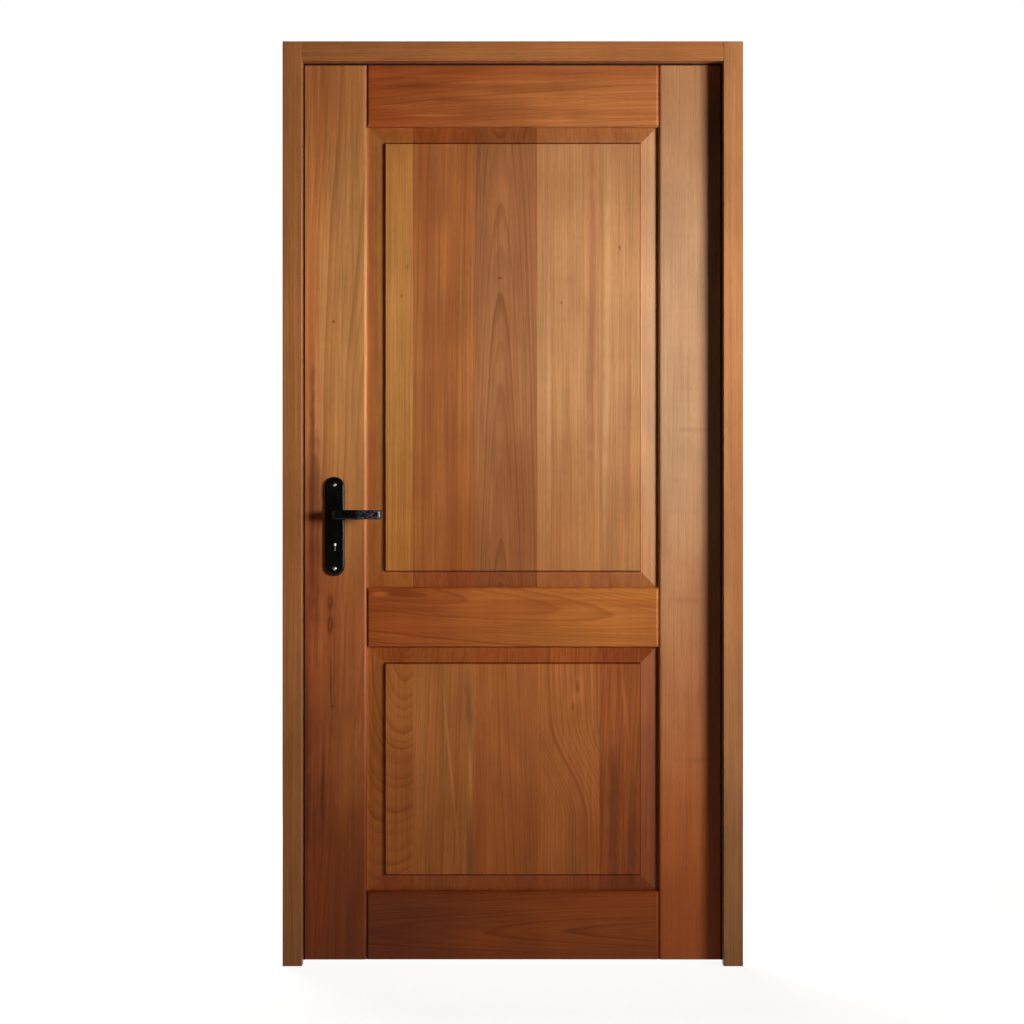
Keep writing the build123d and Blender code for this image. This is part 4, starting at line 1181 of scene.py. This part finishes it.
@dataclass(frozen=True)
class Lamp:
    """Soft square lamp: its place, the point it faces, its side in metres, its power and its beam in degrees."""

    name: str
    at: Point
    towards: Point
    size: float
    power: float
    spread: float

    def hang(self) -> None:
        """Hangs the lamp."""
        bpy.ops.object.light_add(type="AREA", location=self.at)
        lamp = bpy.context.object
        lamp.name = self.name
        lamp.data.shape = "SQUARE"
        lamp.data.size = self.size
        lamp.data.energy = self.power
        lamp.data.spread = radians(self.spread)
        lamp.rotation_euler = (Vector(self.towards) - Vector(self.at)).to_track_quat("-Z", "Y").to_euler()


LAMPS = (
    Lamp("key_lamp", (2.8, -2.5, 1.40), (0.25, 0.0, 1.55), 1.0, 20.3, 60.0),
    Lamp("fill_lamp", (-2.6, -4.2, 2.0), (0.0, 0.0, 1.2), 2.4, 0.6, 180.0),
    Lamp("back_lamp", (-1.4, 3.3, 1.2), (0.0, 0.0, 1.1), 1.8, 52.0, 120.0),
    Lamp("top_lamp", (0.0, 1.1, 4.6), (0.0, 0.1, 2.1), 1.0, 5.0, 50.0),
)


@dataclass
class Studio:
    """Pale floor, soft lamps and the camera, square to the front of the door."""

    lamps: tuple[Lamp, ...] = LAMPS
    floor_radius: float = 5.0
    floor_sides: int = 96
    floor_inset: float = 0.4
    floor_colour: Colour = tone(200, 199, 197)
    fade_reach: tuple[float, float] = (1.2, 3.6)
    fade_levels: tuple[float, float] = (0.88, 1.0)
    dark_front: tuple[float, float] = (-0.25, 0.05)
    camera_distance: float = 6.5
    view_width: float = 2.387
    camera_x: float = -0.0018
    camera_z: float = 1.0514
    sensor: float = 36.0
    ambient: float = 0.007

    def floor(self) -> None:
        """Makes the floor, which fades into the white around it and keeps the shadow."""
        bpy.ops.mesh.primitive_circle_add(vertices=self.floor_sides, radius=self.floor_radius, fill_type="NGON")
        floor = bpy.context.object
        floor.name = "studio_floor"
        bpy.ops.object.mode_set(mode="EDIT")
        bpy.ops.mesh.inset(thickness=self.floor_radius * self.floor_inset)
        bpy.ops.object.mode_set(mode="OBJECT")
        made = bpy.data.materials.new("pale_floor")
        graph = Graph(made)
        x, y, _ = graph.place()
        reach = (x * x + y * y) ** 0.5
        level = graph.span(reach, *self.fade_reach, *self.fade_levels)
        grey = graph.node("ShaderNodeCombineColor", None, {"Red": level, "Green": level, "Blue": level})
        white = graph.node("ShaderNodeEmission", None, {"Color": graph.wire(grey, "Color"), "Strength": 1.0})
        matt = graph.node("ShaderNodeBsdfDiffuse", None, {"Color": self.floor_colour})
        both = graph.node("ShaderNodeAddShader")
        graph.tree.links.new(white.outputs[0], both.inputs[0])
        graph.tree.links.new(matt.outputs[0], both.inputs[1])
        mix = graph.node("ShaderNodeMixShader", None, {"Fac": self.seen(graph)})
        graph.tree.links.new(matt.outputs[0], mix.inputs[1])
        graph.tree.links.new(both.outputs[0], mix.inputs[2])
        graph.node("ShaderNodeOutputMaterial", None, {"Surface": graph.wire(mix, "Shader")})
        floor.data.materials.append(made)
        LOG.info("floor laid")

    @staticmethod
    def seen(graph: Graph) -> Wire:
        """1 for a ray from the camera, a mirror or glass, and 0 for the light that falls on the door."""
        path = graph.node("ShaderNodeLightPath")
        rays = [graph.wire(path, f"Is {kind} Ray") for kind in ("Camera", "Glossy", "Transmission")]
        return graph.math("MINIMUM", rays[0] + rays[1] + rays[2], 1.0)

    def world(self) -> None:
        """Makes the white surroundings, dark towards the front of the room in reflections."""
        world = bpy.data.worlds.new("studio")
        bpy.context.scene.world = world
        graph = Graph(world)
        path = graph.node("ShaderNodeLightPath")
        ray = graph.wire(graph.node("ShaderNodeTexCoord"), "Generated")
        direction = graph.node("ShaderNodeSeparateXYZ", None, {"Vector": ray})
        behind = graph.span(graph.wire(direction, "Y"), *self.dark_front)
        glossy, through = graph.wire(path, "Is Glossy Ray"), graph.wire(path, "Is Transmission Ray")
        mirrored = graph.math("MAXIMUM", glossy, through)
        white = graph.math("MAXIMUM", graph.wire(path, "Is Camera Ray"), mirrored * behind)
        strength = white * (1.0 - self.ambient) + self.ambient
        sky = graph.node("ShaderNodeBackground", None, {"Color": (1.0, 1.0, 1.0, 1.0), "Strength": strength})
        graph.node("ShaderNodeOutputWorld", None, {"Surface": graph.wire(sky, "Background")})

    def camera(self) -> None:
        """Sets up the camera."""
        at = (self.camera_x, -LEAF_FACE - self.camera_distance, self.camera_z)
        bpy.ops.object.camera_add(location=at, rotation=(radians(90.0), 0.0, 0.0))
        camera = bpy.context.object
        camera.data.sensor_width = self.sensor
        camera.data.lens = self.sensor * self.camera_distance / self.view_width
        bpy.context.scene.camera = camera

    def build(self) -> None:
        """Makes the floor, the surroundings, the lamps and the camera."""
        bpy.ops.object.select_all(action="DESELECT")
        self.floor()
        self.world()
        for lamp in self.lamps:
            lamp.hang()
        self.camera()
        bpy.context.scene.view_settings.view_transform = "Standard"
        LOG.info("studio lit")


def main() -> None:
    """Builds and dresses the door, sub-assembly by sub-assembly."""
    logging.basicConfig(level=logging.INFO, format="%(name)s: %(message)s")
    Leaf(STILES, RAILS, {"upper_panel": UPPER_BOARDS, "lower_panel": LOWER_BOARDS}).dress()
    DoorFrame(FRAME_WOODS, Rubber("brown_seal_rubber").material()).dress()
    plate_black = BlackLacquer("black_plate_lacquer").material()
    # The lever's pale patch past X = -0.365 is a painted sheen.
    lever_black = BlackLacquer("black_lever_lacquer", painted_sheen_from=-0.365).material()
    hinge_black = BlackLacquer("black_hinge_lacquer", tone(17, 16, 16), roughness=0.42).material()
    bright = Steel("bright_bolt_steel", tone(168, 166, 162), tone(128, 125, 120),
                   roughness=0.34, brushing=Brushing.EVEN).material()
    plated = Steel("plated_lock_steel", tone(188, 184, 172), tone(150, 145, 132),
                   roughness=0.32, brushing=Brushing.UPRIGHT).material()
    Hinges(hinge_black).dress()
    HandleSet(plate_black, lever_black, bright).dress()
    MortiseLock(plated).dress()
    Studio().build()
    LOG.info("sizes written")


if __name__ == "__main__":
    main()
